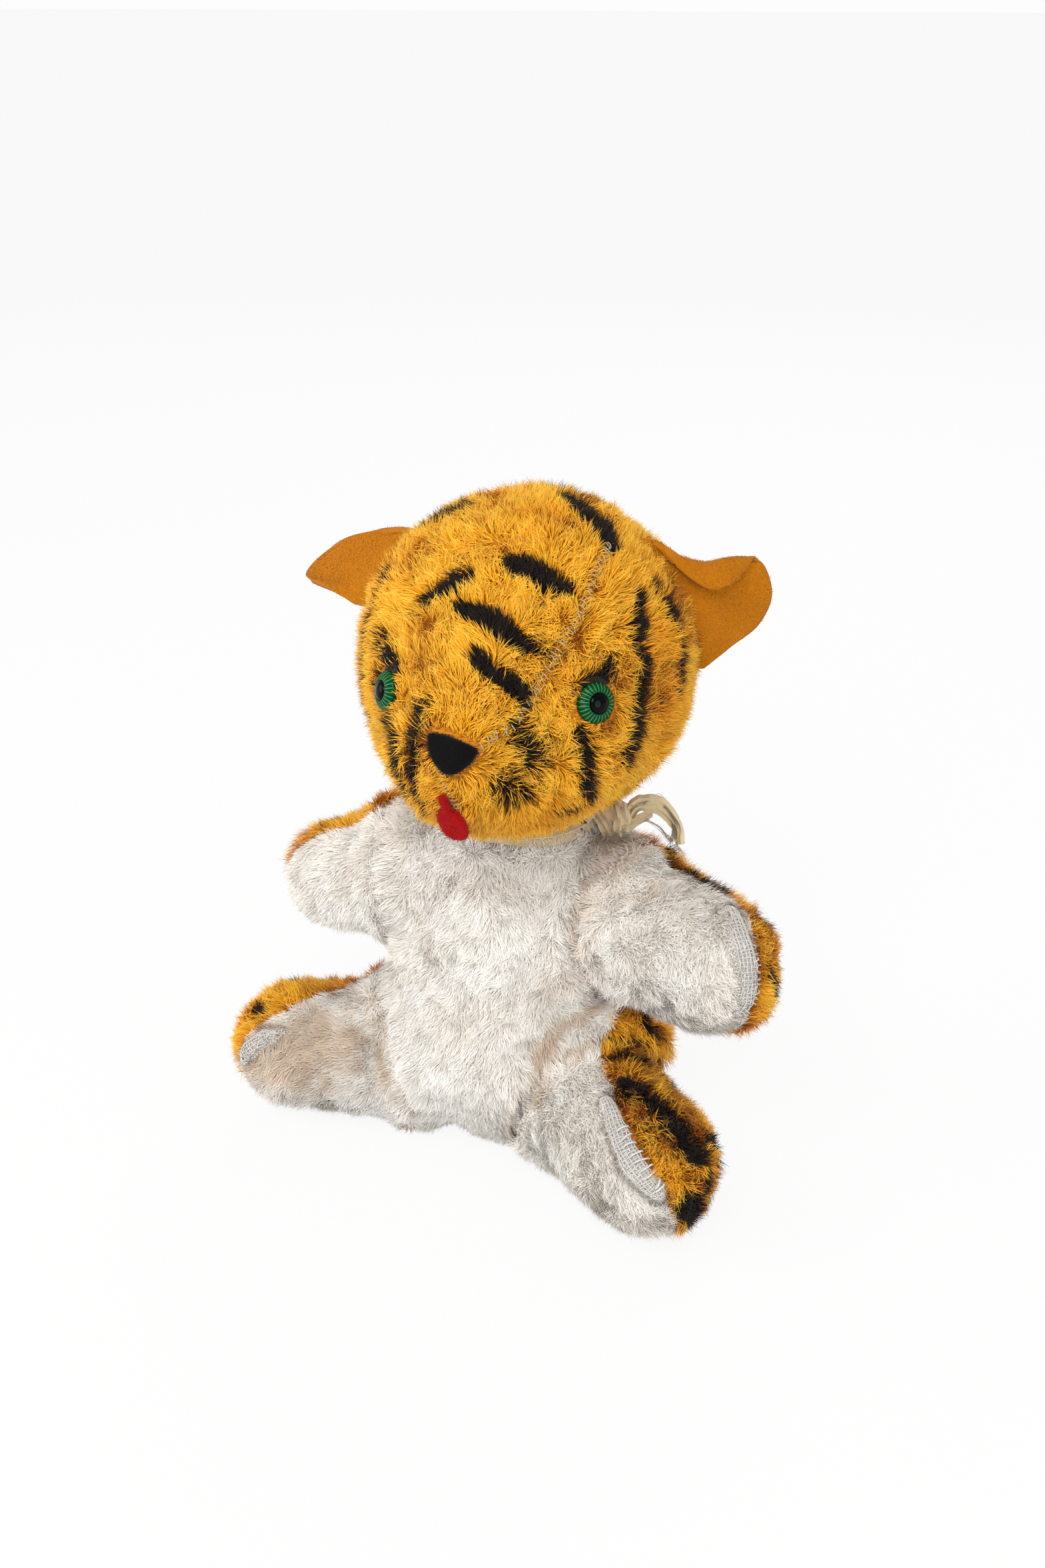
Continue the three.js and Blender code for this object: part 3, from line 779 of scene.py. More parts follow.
class Surface:
    """A closed surface with its normals and with named values at its points."""

    def __init__(self, points: Array, faces: Array) -> None:
        """Takes the points and the four-sided faces."""
        self.points = points
        self.faces = faces
        self.layers: dict[str, Array] = {}
        self.triangles = np.concatenate([faces[:, [0, 1, 2]], faces[:, [0, 2, 3]]])
        self.edges = np.unique(np.sort(edges_of(faces), axis=1), axis=0)
        self.degree = np.bincount(self.edges.ravel(), minlength=len(points))

    @classmethod
    def joined(cls, nodes: Sequence[str], voxel: float) -> "Surface":
        """Joins CAD nodes into one closed surface and keeps its outside.

        Args:
            nodes: Their names.
            voxel: Grain of the surface in metres.

        Returns:
            The surface.
        """
        together = bmesh.new()
        for node in nodes:
            together.from_mesh(cad(node))
        mesh = bpy.data.meshes.new("union")
        together.to_mesh(mesh)
        together.free()
        obj = linked("union", mesh)
        remesh = obj.modifiers.new("union", "REMESH")
        remesh.mode = "VOXEL"
        remesh.voxel_size = voxel
        evaluated = obj.evaluated_get(bpy.context.evaluated_depsgraph_get())
        made = bpy.data.meshes.new_from_object(evaluated)
        points = np.zeros(len(made.vertices) * 3)
        made.vertices.foreach_get("co", points)
        faces = np.array([list(face.vertices) for face in made.polygons if len(face.vertices) == 4])
        bpy.data.objects.remove(obj)
        bpy.data.meshes.remove(made)
        return cls(*largest(points.reshape(-1, 3), faces))

    def near_mean(self, values: Array) -> Array:
        """The mean of each point's neighbours."""
        first, second = self.edges.T
        size = len(self.points)
        total = [np.bincount(first, v[second], size) + np.bincount(second, v[first], size) for v in values.T]
        return np.stack(total, axis=1) / self.degree[:, None]

    def smooth(self, rounds: int, share: Array | float = 0.5) -> None:
        """Evens the surface out, by one share or by one for each point."""
        weight = np.broadcast_to(np.asarray(share, float), len(self.points))[:, None]
        for _ in range(rounds):
            self.points += weight * (self.near_mean(self.points) - self.points)

    def even(self, rounds: int, share: Array) -> None:
        """Takes out small facets and keeps the broad form.

        Args:
            rounds: How often it is smoothed.
            share: How strongly, at each point.
        """
        before = self.points.copy()
        self.smooth(rounds, share)
        lost = before - self.points
        for _ in range(rounds):
            lost += share[:, None] * (self.near_mean(lost) - lost)
        self.points += lost

    def normals(self) -> Array:
        """The way out of the surface at each point."""
        a, b, c = (self.points[self.triangles[:, k]] for k in range(3))
        cross = np.cross(b - a, c - a)
        total = np.zeros_like(self.points)
        for k in range(3):
            for axis in range(3):
                total[:, axis] += np.bincount(self.triangles[:, k], cross[:, axis], len(self.points))
        return unit(total)

    def tree(self) -> BVHTree:
        """A search tree over the surface."""
        return BVHTree.FromPolygons(self.points.tolist(), self.faces.tolist())

    def scatter(self, density: Array, rng: np.random.Generator) -> tuple[Array, Array]:
        """Picks random places.

        Args:
            density: Places for each square metre, at each point.
            rng: Source of chance.

        Returns:
            The triangle of each place, and its three shares in it.
        """
        a, b, c = (self.points[self.triangles[:, k]] for k in range(3))
        area = np.linalg.norm(np.cross(b - a, c - a), axis=1) / 2
        wanted = area * density[self.triangles].mean(axis=1)
        total = wanted.sum()
        steps = (np.arange(int(total)) + rng.random(int(total))) / int(total)
        picked = np.searchsorted(np.cumsum(wanted) / total, steps).clip(0, len(wanted) - 1)
        root, other = np.sqrt(rng.random(len(picked))), rng.random(len(picked))
        return picked, np.stack([1 - root, root * (1 - other), root * other], axis=1)

    def read(self, values: Array, picked: Array, shares: Array) -> Array:
        """Values at scattered places, from those at the points."""
        corners = values[self.triangles[picked]]
        return np.einsum("ij,ij...->i...", shares, corners)


# Plush


class Cloth(Enum):
    """The two colours of plush."""

    ORANGE = "orange"
    WHITE = "white"


@dataclass(frozen=True)
class Pile:
    """How one colour of plush stands on its backing."""

    length: float
    width: float
    density: float
    lean: float
    clump: float
    pull: float
    swirl: float
    mixed: float
    # root, middle and tip: the root is darker, painted shade deep in the pile; the tip is lighter, partly the
    # fibres' own paler ends and partly painted highlight
    root: Colour
    middle: Colour
    tip: Colour
    other: Colour
    # the cloth under the pile; the orange one is darker, painted shade seen between the strands
    backing: Colour
    soft: float = 0.6
    stray_share: float = 0.12
    stray_lift: float = 26.0
    breadth_at_bend: float = 0.42
    tangle: float = 0.4
    into_fold: float = 3.0
    swirls: Pair = (12.0, 4.5)
    patch: float = 9.0
    faded: float = 0.6


PILES = {
    Cloth.ORANGE: Pile(
        length=5.2, width=0.28, density=4.6, lean=42, clump=3.2, pull=2.0, swirl=1.1, mixed=0.7,
        root=srgb(164, 92, 4), middle=srgb(236, 164, 24), tip=srgb(252, 206, 78), other=srgb(236, 142, 4),
        backing=srgb(200, 126, 18),
    ),
    Cloth.WHITE: Pile(
        length=4.0, width=0.19, density=7.0, lean=54, clump=3.6, pull=1.2, swirl=0.8, mixed=0.55,
        root=srgb(228, 218, 207), middle=srgb(244, 240, 233), tip=srgb(253, 250, 245),
        other=srgb(228, 214, 199), backing=srgb(244, 240, 233),
    ),
}
# How far marked zones darken cloth and pile: painted shade in folds, creases and under other parts, and dirt
DIRT_AND_SHADE_TINT = (0.7, 0.58, 0.47)
BLACK = (srgb(10, 8, 8), srgb(16, 13, 12), srgb(44, 34, 26))
SHORTER = {"parting": 0.55, "bare": 0.4, "beside": 0.45}  # how much shorter the pile stands there


def cover_of(zones: Sequence[Zone], points: Array, wobble: Array, tree: BVHTree) -> Array:
    """How far any of the zones covers each place."""
    return np.max([np.zeros(len(points)), *(zone.cover(points, wobble, tree) for zone in zones)], axis=0)


@dataclass
class StuffedPart:
    """A stuffed part of the toy: its smooth cloth and the pile on it.

    Lengths are in millimetres, and a pair of them says where an effect starts and where it is full.
    """

    name: str
    white: tuple[str, ...]
    orange: tuple[str, ...]
    filling: str
    combed: Array
    axis: Array
    seed: int
    fill: float = 0.7
    grain: float = 1.4
    inset: float = 3.8
    stripes: tuple[Zone, ...] = ()
    bald: tuple[Zone, ...] = ()
    partings: tuple[Zone, ...] = ()
    # zones darkened by painted shade in creases and under other parts, and by dirt
    soiled: tuple[Zone, ...] = ()
    covers: tuple[Object, ...] = ()
    seams: tuple[Seam, ...] = ()
    bulges: tuple[Bulge, ...] = ()
    nose: Array | None = None
    rests: bool = True
    furred: bool = True
    surface: Surface | None = None

    facet_free: Pair = (0.8, 5.0)
    facet_rounds: int = 34
    open_cloth: Pair = (0.5, 9.0)
    deep_side: Pair = (-6.0, 8.0)
    # distances from another part over which the painted shade in a fold fades out
    fold_shade: Pair = (0.5, 4.5)
    fold_reach: Pair = (2.0, 8.0)
    under_piece: Pair = (0.35, 1.0)
    beside_piece: Pair = (0.6, 4.0)
    pressed_by_piece: Pair = (0.5, 5.0)
    seat_height: float = 6.0
    seat_press: float = 2.6
    seat_gap: float = 0.7
    seam_overlap: float = 1.5
    girth: float = 22.0

    def sew(self, backing: Material) -> None:
        """Makes the smooth closed cloth from the CAD nodes.

        Args:
            backing: Its finish.
        """
        surface = self.surface = Surface.joined((*self.white, *self.orange, self.filling), self.grain * MM)
        layers, noise = surface.layers, Noise(self.seed)
        near = self.near_others()
        surface.even(self.facet_rounds, 0.5 * smoothstep(*self.facet_free, near))
        outer = surface.tree()
        wobble = noise.at(surface.points, 3 * MM)
        for title, zones in (("bald", self.bald), ("parting", self.partings), ("soiled", self.soiled)):
            layers[title] = cover_of(zones, surface.points, wobble, outer)
        layers["seam"] = self.seam_side(outer)
        under = self.covered()
        layers["covered"] = 1 - smoothstep(*self.under_piece, under)
        layers["beside"] = 1 - smoothstep(*self.beside_piece, under)
        layers["hidden"] = self.hidden()
        deep = smoothstep(*self.deep_side, surface.points[:, 0] / MM)
        # Painted shade in the folds against other parts, stronger on the tiger's left where the folds are
        # deep
        crevice_shade = (0.15 + 0.45 * deep) * (1 - smoothstep(*self.fold_shade, near))
        layers["soiled"] = np.maximum(layers["soiled"], crevice_shade)
        pressed = 0.95 * (1 - smoothstep(*self.pressed_by_piece, under))
        thin = np.maximum.reduce([0.7 * layers["bald"], 0.35 * layers["parting"], pressed])
        free = smoothstep(*self.open_cloth, near)
        depth = self.inset * (1 - thin) * free + (1.4 * deep - 0.4) * (1 - free)
        swell = (1.1 * noise.at(surface.points, 19 * MM) + 0.6 * noise.at(surface.points, 9 * MM)) * free
        for bulge in self.bulges:
            surface.points += bulge.push(surface.points)
        surface.points += surface.normals() * ((swell - depth) * MM)[:, None]
        surface.smooth(3)
        if self.rests:
            low, seat = surface.points[:, 2] / MM, self.seat_height
            flat = np.where(low < seat, seat - (seat - low) * self.seat_press, low)
            surface.points[:, 2] = np.maximum(flat, self.seat_gap) * MM
        self.dress(backing)

    def others(self) -> BVHTree:
        """A search tree over the soft CAD nodes that move with other bodies."""
        own = {*self.white, *self.orange, self.filling}
        soft = ("panel", "stuffing", "head_side", "head_gusset", "tail")
        names = [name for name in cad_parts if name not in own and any(word in name for word in soft)]
        return search_tree(*map(cad, names))

    def near_others(self) -> Array:
        """Finds the nearest other stuffed part.

        Returns:
            Its distance from each point in millimetres. The way to it is kept for the pile.
        """
        tree = self.others()
        found = [tree.find_nearest(point) for point in self.surface.points]
        away = np.array([distance for *_, distance in found]) / MM
        ways = unit(np.array([place for place, *_ in found]) - self.surface.points)
        self.surface.layers["fold"] = ways * (1 - smoothstep(*self.fold_reach, away))[:, None]
        return away

    def hidden(self) -> Array:
        """Marks the points that look straight at another stuffed part."""
        tree = self.others()
        pairs = zip(self.surface.points, self.surface.normals(), strict=True)
        hits = [tree.ray_cast(point + normal * 0.1 * MM, normal, 5 * MM)[0] for point, normal in pairs]
        return np.array([hit is not None for hit in hits], float)

    def seam_side(self, tree: BVHTree) -> Array:
        """Millimetres from the seam at each point, above 0 on the white cloth."""
        if not self.white:
            return np.full(len(self.surface.points), -99.0)
        away = []
        for nodes in (self.orange, self.white):
            side = search_tree(*map(cad, nodes))
            away.append(np.array([side.find_nearest(point)[3] for point in self.surface.points]))
        found = (away[0] - away[1]) / MM
        for seam in self.seams:
            value, close = seam.side(self.surface.points, tree)
            found = np.where(close, value, found)
        return found

    def covered(self) -> Array:
        """Millimetres from each point to the nearest piece that sits on the pile."""
        points = self.surface.points
        if not self.covers:
            return np.full(len(points), 99.0)
        trees = [search_tree(cover.data) for cover in self.covers]
        return np.min([[tree.find_nearest(point)[3] for point in points] for tree in trees], axis=0) / MM

    def colours(self, points: Array, seam: Array, tree: BVHTree) -> tuple[Array, Array]:
        """The cloth and the stripes at places on the surface.

        Args:
            points: The places.
            seam: Millimetres from the seam at each.
            tree: The cloth.

        Returns:
            Whether each place is white, and how far a black stripe covers it.
        """
        noise = Noise(self.seed + 1)
        wobble = 0.6 * noise.at(points, 2.2 * MM) + 0.4 * noise.at(points, 5 * MM)
        return seam + 0.35 * wobble > 0, cover_of(self.stripes, points, wobble, tree)

    def dress(self, backing: Material) -> None:
        """Makes the object of the cloth, with its colours and its thread grid."""
        points, layers = self.surface.points, self.surface.layers
        mesh = mesh_of(self.name + "_cloth", points, self.surface.faces)
        bald, soiled = layers["bald"][:, None], layers["soiled"][:, None]
        printed = self.colours(points, layers["seam"], self.surface.tree())
        white, black = (values[:, None] for values in printed)
        colour = np.where(white, PILES[Cloth.WHITE].backing, PILES[Cloth.ORANGE].backing)
        colour = np.where((black * (1 - bald) > 0.5) & ~white, BLACK[2], colour)
        # Darker where the cloth is bald, and where painted shade and dirt are marked
        colour = colour * (1 - 0.25 * bald) * (1 - 0.5 * soiled * (1 - np.array(DIRT_AND_SHADE_TINT)))
        away = points - points.mean(axis=0)
        across = unit(np.cross(self.axis, [0.31, 0.17, 0.94]))
        turn = np.arctan2(away @ np.cross(self.axis, across), away @ across)
        store(mesh, colour, np.stack([away @ self.axis / MM, turn * self.girth, np.zeros(len(turn))], axis=1))
        skin = placed(mesh.name, self.name, mesh, backing)
        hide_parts(*self.white, *self.orange, self.filling)

    def grow(self, material: Material) -> int:
        """Grows the pile as one piece for each cloth.

        Args:
            material: Its finish.

        Returns:
            The number of strands.
        """
        surface, layers = self.surface, self.surface.layers
        tree = surface.tree()
        layers["bare"] = np.maximum.reduce([layers[title] for title in ("bald", "covered", "hidden")])
        total = 0
        for cloth in Cloth:
            white = cloth is Cloth.WHITE
            side = layers["seam"] > -self.seam_overlap if white else layers["seam"] < self.seam_overlap
            if not side.any():
                continue
            pile = PILES[cloth]
            rng = np.random.default_rng(self.seed + len(cloth.value))
            density = pile.density * side * np.clip(1.15 - 1.2 * layers["bare"], 0, 1) / MM**2
            spots = surface.scatter(density, rng)
            seam = surface.read(layers["seam"], *spots)
            keep = self.colours(surface.read(surface.points, *spots), seam, tree)[0] == white
            keep &= surface.read(layers["bare"], *spots) < 0.45
            spots = [values[keep] for values in spots]
            at = {title: surface.read(values, *spots) for title, values in layers.items()}
            roots = surface.read(surface.points, *spots)
            normals = unit(surface.read(surface.normals(), *spots))
            short = np.ones(len(roots))
            for title, loss in SHORTER.items():
                short *= 1 - loss * at[title]
            short *= 1 + 0.25 * np.linalg.norm(at["fold"], axis=1)
            short *= 0.72 + 0.28 * smoothstep(0, 3, np.abs(at["seam"]))
            strands = Strands(pile, roots, normals, short, at["soiled"], rng, Noise(self.seed + 2))
            strands.comb(self.combed, self.nose, at["fold"])
            strands.bend()
            strands.black = self.colours(strands.printed(), np.zeros(len(roots)), tree)[1]
            obj = strands.build(f"{self.name}_{cloth.value}_pile", self.name, material)
            total += len(roots)
        return total


@dataclass
class Strands:
    """The strands of one piece of pile, each a narrow blade bent once."""

    pile: Pile
    roots: Array
    normals: Array
    short: Array
    # how far each strand is darkened by painted shade and by dirt
    soiled: Array
    rng: np.random.Generator
    noise: Noise
    black: Array | float = 0.0

    def comb(self, combed: Array, nose: Array | None = None, fold: Array | float = 0.0) -> None:
        """Chooses the way each strand lies.

        Args:
            combed: The way the whole piece was stroked.
            nose: A point that the strands lie away from, or None.
            fold: The way to a fold that each strand falls into.
        """
        way = np.broadcast_to(combed, self.roots.shape)
        if nose is not None:
            way = unit(self.roots - nose * MM) * 0.8 + way * 0.4
        broad, fine = (self.noise.vector(self.roots, size * MM) for size in self.pile.swirls)
        jitter = self.pile.tangle * self.rng.normal(size=self.roots.shape)
        way = way + self.pile.swirl * (broad + fine) + jitter + self.pile.into_fold * fold
        self.lay = unit(flattened(way, self.normals))

    def bend(self) -> None:
        """Shapes the strands: two points at the root, two at the bend and one at the tip."""
        size, rng, pile = len(self.roots), self.rng, self.pile
        clump = pile.clump * MM
        self.tuft = self.noise.at(self.roots, clump)
        self.patch = self.noise.at(self.roots, pile.patch * MM)
        near = 0.15 * clump
        slopes = [self.noise.at(self.roots + near * axis, clump) - self.tuft for axis in np.eye(3)]
        pull = flattened(np.stack(slopes, axis=1), self.normals)
        length = pile.length * MM * self.short * (0.75 + 0.4 * rng.random(size))
        length *= 1 + 0.12 * self.patch + 0.14 * self.tuft
        stray = np.where(rng.random(size) < pile.stray_share, pile.stray_lift, 0.0)
        lean = np.radians(np.clip(pile.lean - stray + 10 * self.patch + rng.normal(0, 10, size), 5, 80))
        middle = self.roots + self.step(length / 2, lean * 0.65)
        tip = middle + self.step(length / 2, lean * 1.35) + pull * (length * pile.pull)[:, None]
        across = np.cross(self.lay, self.normals)
        across = unit(across + rng.normal(0, 0.35, size)[:, None] * self.normals)
        width = pile.width * MM * (0.75 + 0.5 * rng.random(size))[:, None]
        root, bend = across * width / 2, across * width * pile.breadth_at_bend
        rows = (self.roots - root, self.roots + root, middle + bend, middle - bend, tip)
        self.rows = np.stack(rows, axis=1)
        self.rows[:, :, 2] = np.maximum(self.rows[:, :, 2], 0.25 * MM)

    def printed(self) -> Array:
        """The places on the cloth that lie straight under the upper half of each strand."""
        return self.roots + flattened(self.rows[:, 2:].mean(axis=1) - self.roots, self.normals)

    def step(self, length: Array, lean: Array) -> Array:
        """The way from one end of a stretch of strand to the other."""
        return self.normals * (length * np.cos(lean))[:, None] + self.lay * (length * np.sin(lean))[:, None]

    def tints(self) -> Array:
        """The colour of each strand at its root, middle and tip."""
        size, rng, pile = len(self.roots), self.rng, self.pile
        broad = self.noise.at(self.roots, 16 * MM)
        warm = (smoothstep(-0.1, 0.9, broad + 0.4 * rng.normal(size=size)) * pile.mixed)[:, None]
        # The clumps are lighter at their middles, a painted highlight, and darker between them, painted shade
        level = (1 + 0.13 * rng.normal(size=size) + 0.1 * self.tuft + 0.05 * self.patch)[:, None]
        inked = rng.random(size) < np.clip(self.black * 1.25 - 0.1, 0, 1)
        faded = (self.black < 0.75) & inked & (rng.random(size) < pile.faded)
        # Painted shade in folds and under other parts, and dirt, darken the strand
        dirt_and_shade_factor = 1 - self.soiled[:, None] * (1 - np.array(DIRT_AND_SHADE_TINT))
        ends = []
        for k, (shade, ink) in enumerate(zip((pile.root, pile.middle, pile.tip), BLACK, strict=True)):
            plain = shade + warm * (0.4 + 0.2 * k) * (np.array(pile.other) - shade)
            if k == 2:
                ink = np.where(faded[:, None], 0.5 * np.array(pile.middle), ink) * level
            ends.append(np.where(inked[:, None], ink, plain * dirt_and_shade_factor * level))
        return np.clip(np.stack(ends, axis=1), 0, 1)

    def build(self, name: str, body: str, material: Material) -> Object:
        """Makes the mesh in one go, with a cell of the bake map for each strand.

        Args:
            name: The object's name.
            body: The body it moves with.
            material: Its finish.

        Returns:
            The object.
        """
        points, size = self.rows, len(self.rows)
        mesh = bpy.data.meshes.new(name)
        mesh.vertices.add(size * 5)
        mesh.vertices.foreach_set("co", points.astype(np.float32).ravel())
        place = np.arange(size)
        loops = place[:, None] * 5 + [0, 1, 2, 3, 3, 2, 4]
        mesh.loops.add(size * 7)
        mesh.loops.foreach_set("vertex_index", loops.astype(np.int32).ravel())
        mesh.polygons.add(size * 2)
        mesh.polygons.foreach_set("loop_start", (place[:, None] * 7 + [0, 4]).astype(np.int32).ravel())
        mesh.polygons.foreach_set("use_smooth", np.ones(size * 2, bool))
        cells = math.ceil(math.sqrt(size))
        corner = np.stack([place % cells, place // cells], axis=1)
        inside = np.array(
            [[0.2, 0.1], [0.8, 0.1], [0.8, 0.5], [0.2, 0.5], [0.2, 0.5], [0.8, 0.5], [0.5, 0.9]]
        )
        bake = mesh.uv_layers.new(name=BAKE_MAP)
        bake.data.foreach_set("uv", ((corner[:, None] + inside[None]) / cells).astype(np.float32).ravel())
        store(mesh, self.tints()[:, [0, 0, 1, 1, 2]].reshape(-1, 3))
        mesh.update(calc_edges=True)
        flat = np.cross(points[:, 1] - points[:, 0], points[:, 4] - points[:, 0])
        ways = unit(self.pile.soft * self.normals + (1 - self.pile.soft) * unit(flat))
        mesh.normals_split_custom_set_from_vertices(np.repeat(ways, 5, axis=0).tolist())
        return placed(name, body, mesh, material)


@dataclass(frozen=True)
class LimbPlace:
    """Where an arm or a leg starts and which way it points, in millimetres and degrees."""

    joint: Point
    yaw: float
    droop: float
    length: float
    sweep: float = 7.0

    @property
    def along(self) -> Array:
        """The way from its root to its paw. A yaw below zero points to the tiger's right."""
        yaw, droop = math.radians(self.yaw), math.radians(self.droop)
        return np.array([math.sin(yaw) * math.cos(droop), -math.cos(yaw) * math.cos(droop), -math.sin(droop)])

    def band(self, share: float, high: float, outward: float, width: float) -> Zone:
        """A stripe across the outer cloth, whose ends lie further towards the paw.

        Args:
            share: How far along the limb it lies.
            high: How far up and down it reaches from the middle.
            outward: Distance from the middle of the limb, away from the front.
            width: Its width.

        Returns:
            The stripe.
        """
        along = self.along
        back = unit(np.cross(UP, along)) * math.copysign(1, self.yaw)
        middle = np.array(self.joint) + along * self.length * share
        rise = unit(UP - along * along[2])
        path = []
        for turn in (-1.0, -0.4, 0.3, 1.0):
            angle = turn * math.radians(high)
            side = outward * (back * math.cos(angle) + rise * math.sin(angle))
            path.append(tuple(middle + side + along * self.sweep * abs(turn)))
        return Zone(tuple(path), width, 1.2)


class Body:
    """Torso, limbs, tail and neck: where they are and what is printed on them."""

    arm_left = LimbPlace((28.0, 0.0, 87.0), 72, 6, 69)
    arm_right = LimbPlace((-22.0, 0.0, 87.0), -78, 11, 57)
    leg_left = LimbPlace((19.0, -7.0, 24.5), 55, 0, 77)
    leg_right = LimbPlace((-19.0, -7.0, 24.5), -64, 0, 73)

    crease = ((23, -37, 34), (23.9, -30.8, 47.8), (30.6, -25, 56.1), (37, -17, 60))
    right_crease = ((-33, -29, 45), (-28.6, -34.5, 38.0), (-25.8, -36.7, 31.2), (-23.7, -36.1, 19.7))
    haunch_stripe = Zone(
        ((43.5, -24, 49.2), (46.2, -19.7, 48.4), (50.9, -14.7, 45.8), (55, -9, 42)), 3.4, 1.5, 0.9
    )
    leg_seam = (
        (30, -8, 51), (38.8, -18, 50), (44, -26, 49.5), (48.5, -33.5, 48.1), (53.5, -41.1, 47.1),
        (58, -47.7, 45), (64.1, -52.7, 42.2), (69.5, -55.1, 38.4), (75.1, -55.5, 34), (76.8, -56.1, 27.5),
        (79.3, -51.8, 15.6),
    )
    arm_seam = (
        (44, 4, 108), (52.3, 0, 108.5), (60, 0, 106), (67, -2, 105.5), (74, -4.5, 104.5), (79.7, -8, 103),
        (84.6, -13.5, 101), (87.1, -18, 98.2), (89.1, -21.5, 94.4), (90.5, -24.8, 88.7), (90.7, -26.1, 84.6),
        (89.4, -28.2, 81.6), (87.5, -28.2, 78), (85, -24, 73.5), (78, -18, 70), (66, -14, 70), (54, -9, 73),
        (44, -6, 76),
    )
    right_gauze = ((-75, -50, 26), (-72.5, -50, 33), (-67, -48.5, 38.5), (-61, -45, 42))
    leg_gauze = (
        (49.2, -38.7, 47.2), (54.9, -46.7, 44.9), (59.1, -51.9, 42.3), (64.4, -55.7, 39),
        (70.1, -57.4, 34.4), (74.2, -57, 30.2),
    )
    arm_gauze = (
        (76, -12.5, 104.6), (81.1, -18.9, 102.6), (85.4, -23.4, 97.5), (87.8, -27.1, 90.4),
        (88.3, -29.2, 82.9), (85.6, -30.2, 76.1),
    )
    leg_stitches = leg_seam[5:9]
    arm_stitches = (
        (86.5, -19, 98.5), (88.5, -21.5, 95.5), (90.1, -23.4, 91), (90.6, -26.2, 85.3),
        (89.4, -28.2, 81.6), (87.3, -29.4, 77.9),
    )

    def torso(self) -> StuffedPart:
        """The pear of the body."""
        stripes = []
        for height, reach, width in ((30, 30, 6), (47, 32, 5), (64, 30, 6), (81, 27, 5), (99, 20, 5)):
            for side in (-1, 1):
                path = []
                for share in (0.12, 0.5, 0.85, 1.1):
                    z = height + 5 * share
                    path.append((side * reach * share + 0.035 * z, 42 - 22 * share * share, z))
                stripes.append(Zone(tuple(path), width, 1.3))
        stripes.append(Zone(((47, -1, 57), (50, -3, 50), (55, -2, 43)), 5, 1.1))
        stripes.append(self.haunch_stripe)
        return StuffedPart(
            "torso", ("torso_front_panel",), ("torso_back_panel",), "torso_stuffing",
            combed=np.array([0.1, 0.0, -0.9]), axis=UP, seed=11, stripes=tuple(stripes),
            seams=(
                Seam(
                    ((20, -34, 4), (32, -27, 24), (37, -20, 40), (38.8, -17, 49.5), (41, -10, 57),
                        (40, -2, 66), (36, 3, 80), (30, 4, 98), (27, 3, 112)),
                    (0, 1, 0),
                    30,
                ),
                Seam(((-34, -2, 4), (-16, -8, 2), (4, -8, 2), (20, -8, 3)), (0, 1, 0), 30),
            ),
            bulges=(
                Bulge((46, 8, 40), (1, 0.1, 0.1), 11, 19),
                Bulge((0, -38, 34), (0.1, -1, 0.2), 3.5, 22),
                *(Bulge(place, (0.2, -0.9, 0.3), -4.4, 5.5) for place in self.crease[1:]),
                Bulge((-20, -38, 34), (-0.4, -0.9, 0.1), 2.2, 9),
            ),
            # Painted shade in the creases by the legs, under the head and under the arms, and a darker patch
            # low on the belly
            soiled=(
                Zone(self.crease, 3.6, 2, 1.0),
                Zone(self.right_crease, 2.6, 2, 0.8),
                Zone(((12, -32, 106), (0, -33, 102), (-12, -32, 103)), 9, 5, 0.25),
                Zone(((6, -42, 60), (-10, -41, 52)), 12, 7, 0.2),
                Zone(((-16, -36, 74), (-24, -30, 84)), 8, 5, 0.25),
                Zone(((24, -32, 66), (33, -22, 76)), 8, 5, 0.3),
            ),
        )

    def limb(self, name: str, place: LimbPlace, seed: int, **zones: tuple) -> StuffedPart:
        """An arm or a leg.

        Args:
            name: Its body.
            place: Where it is.
            seed: Source of its chance.
            zones: Its stripes, bald spots, spots of dirt and of painted shade, seams and bulges.

        Returns:
            The part.
        """
        return StuffedPart(
            name, (f"{name}_inner_panel",), (f"{name}_outer_panel",), f"{name}_stuffing",
            combed=place.along * 0.8 + np.array([0, 0, -0.35]), axis=place.along, seed=seed, inset=4.5,
            **zones,
        )

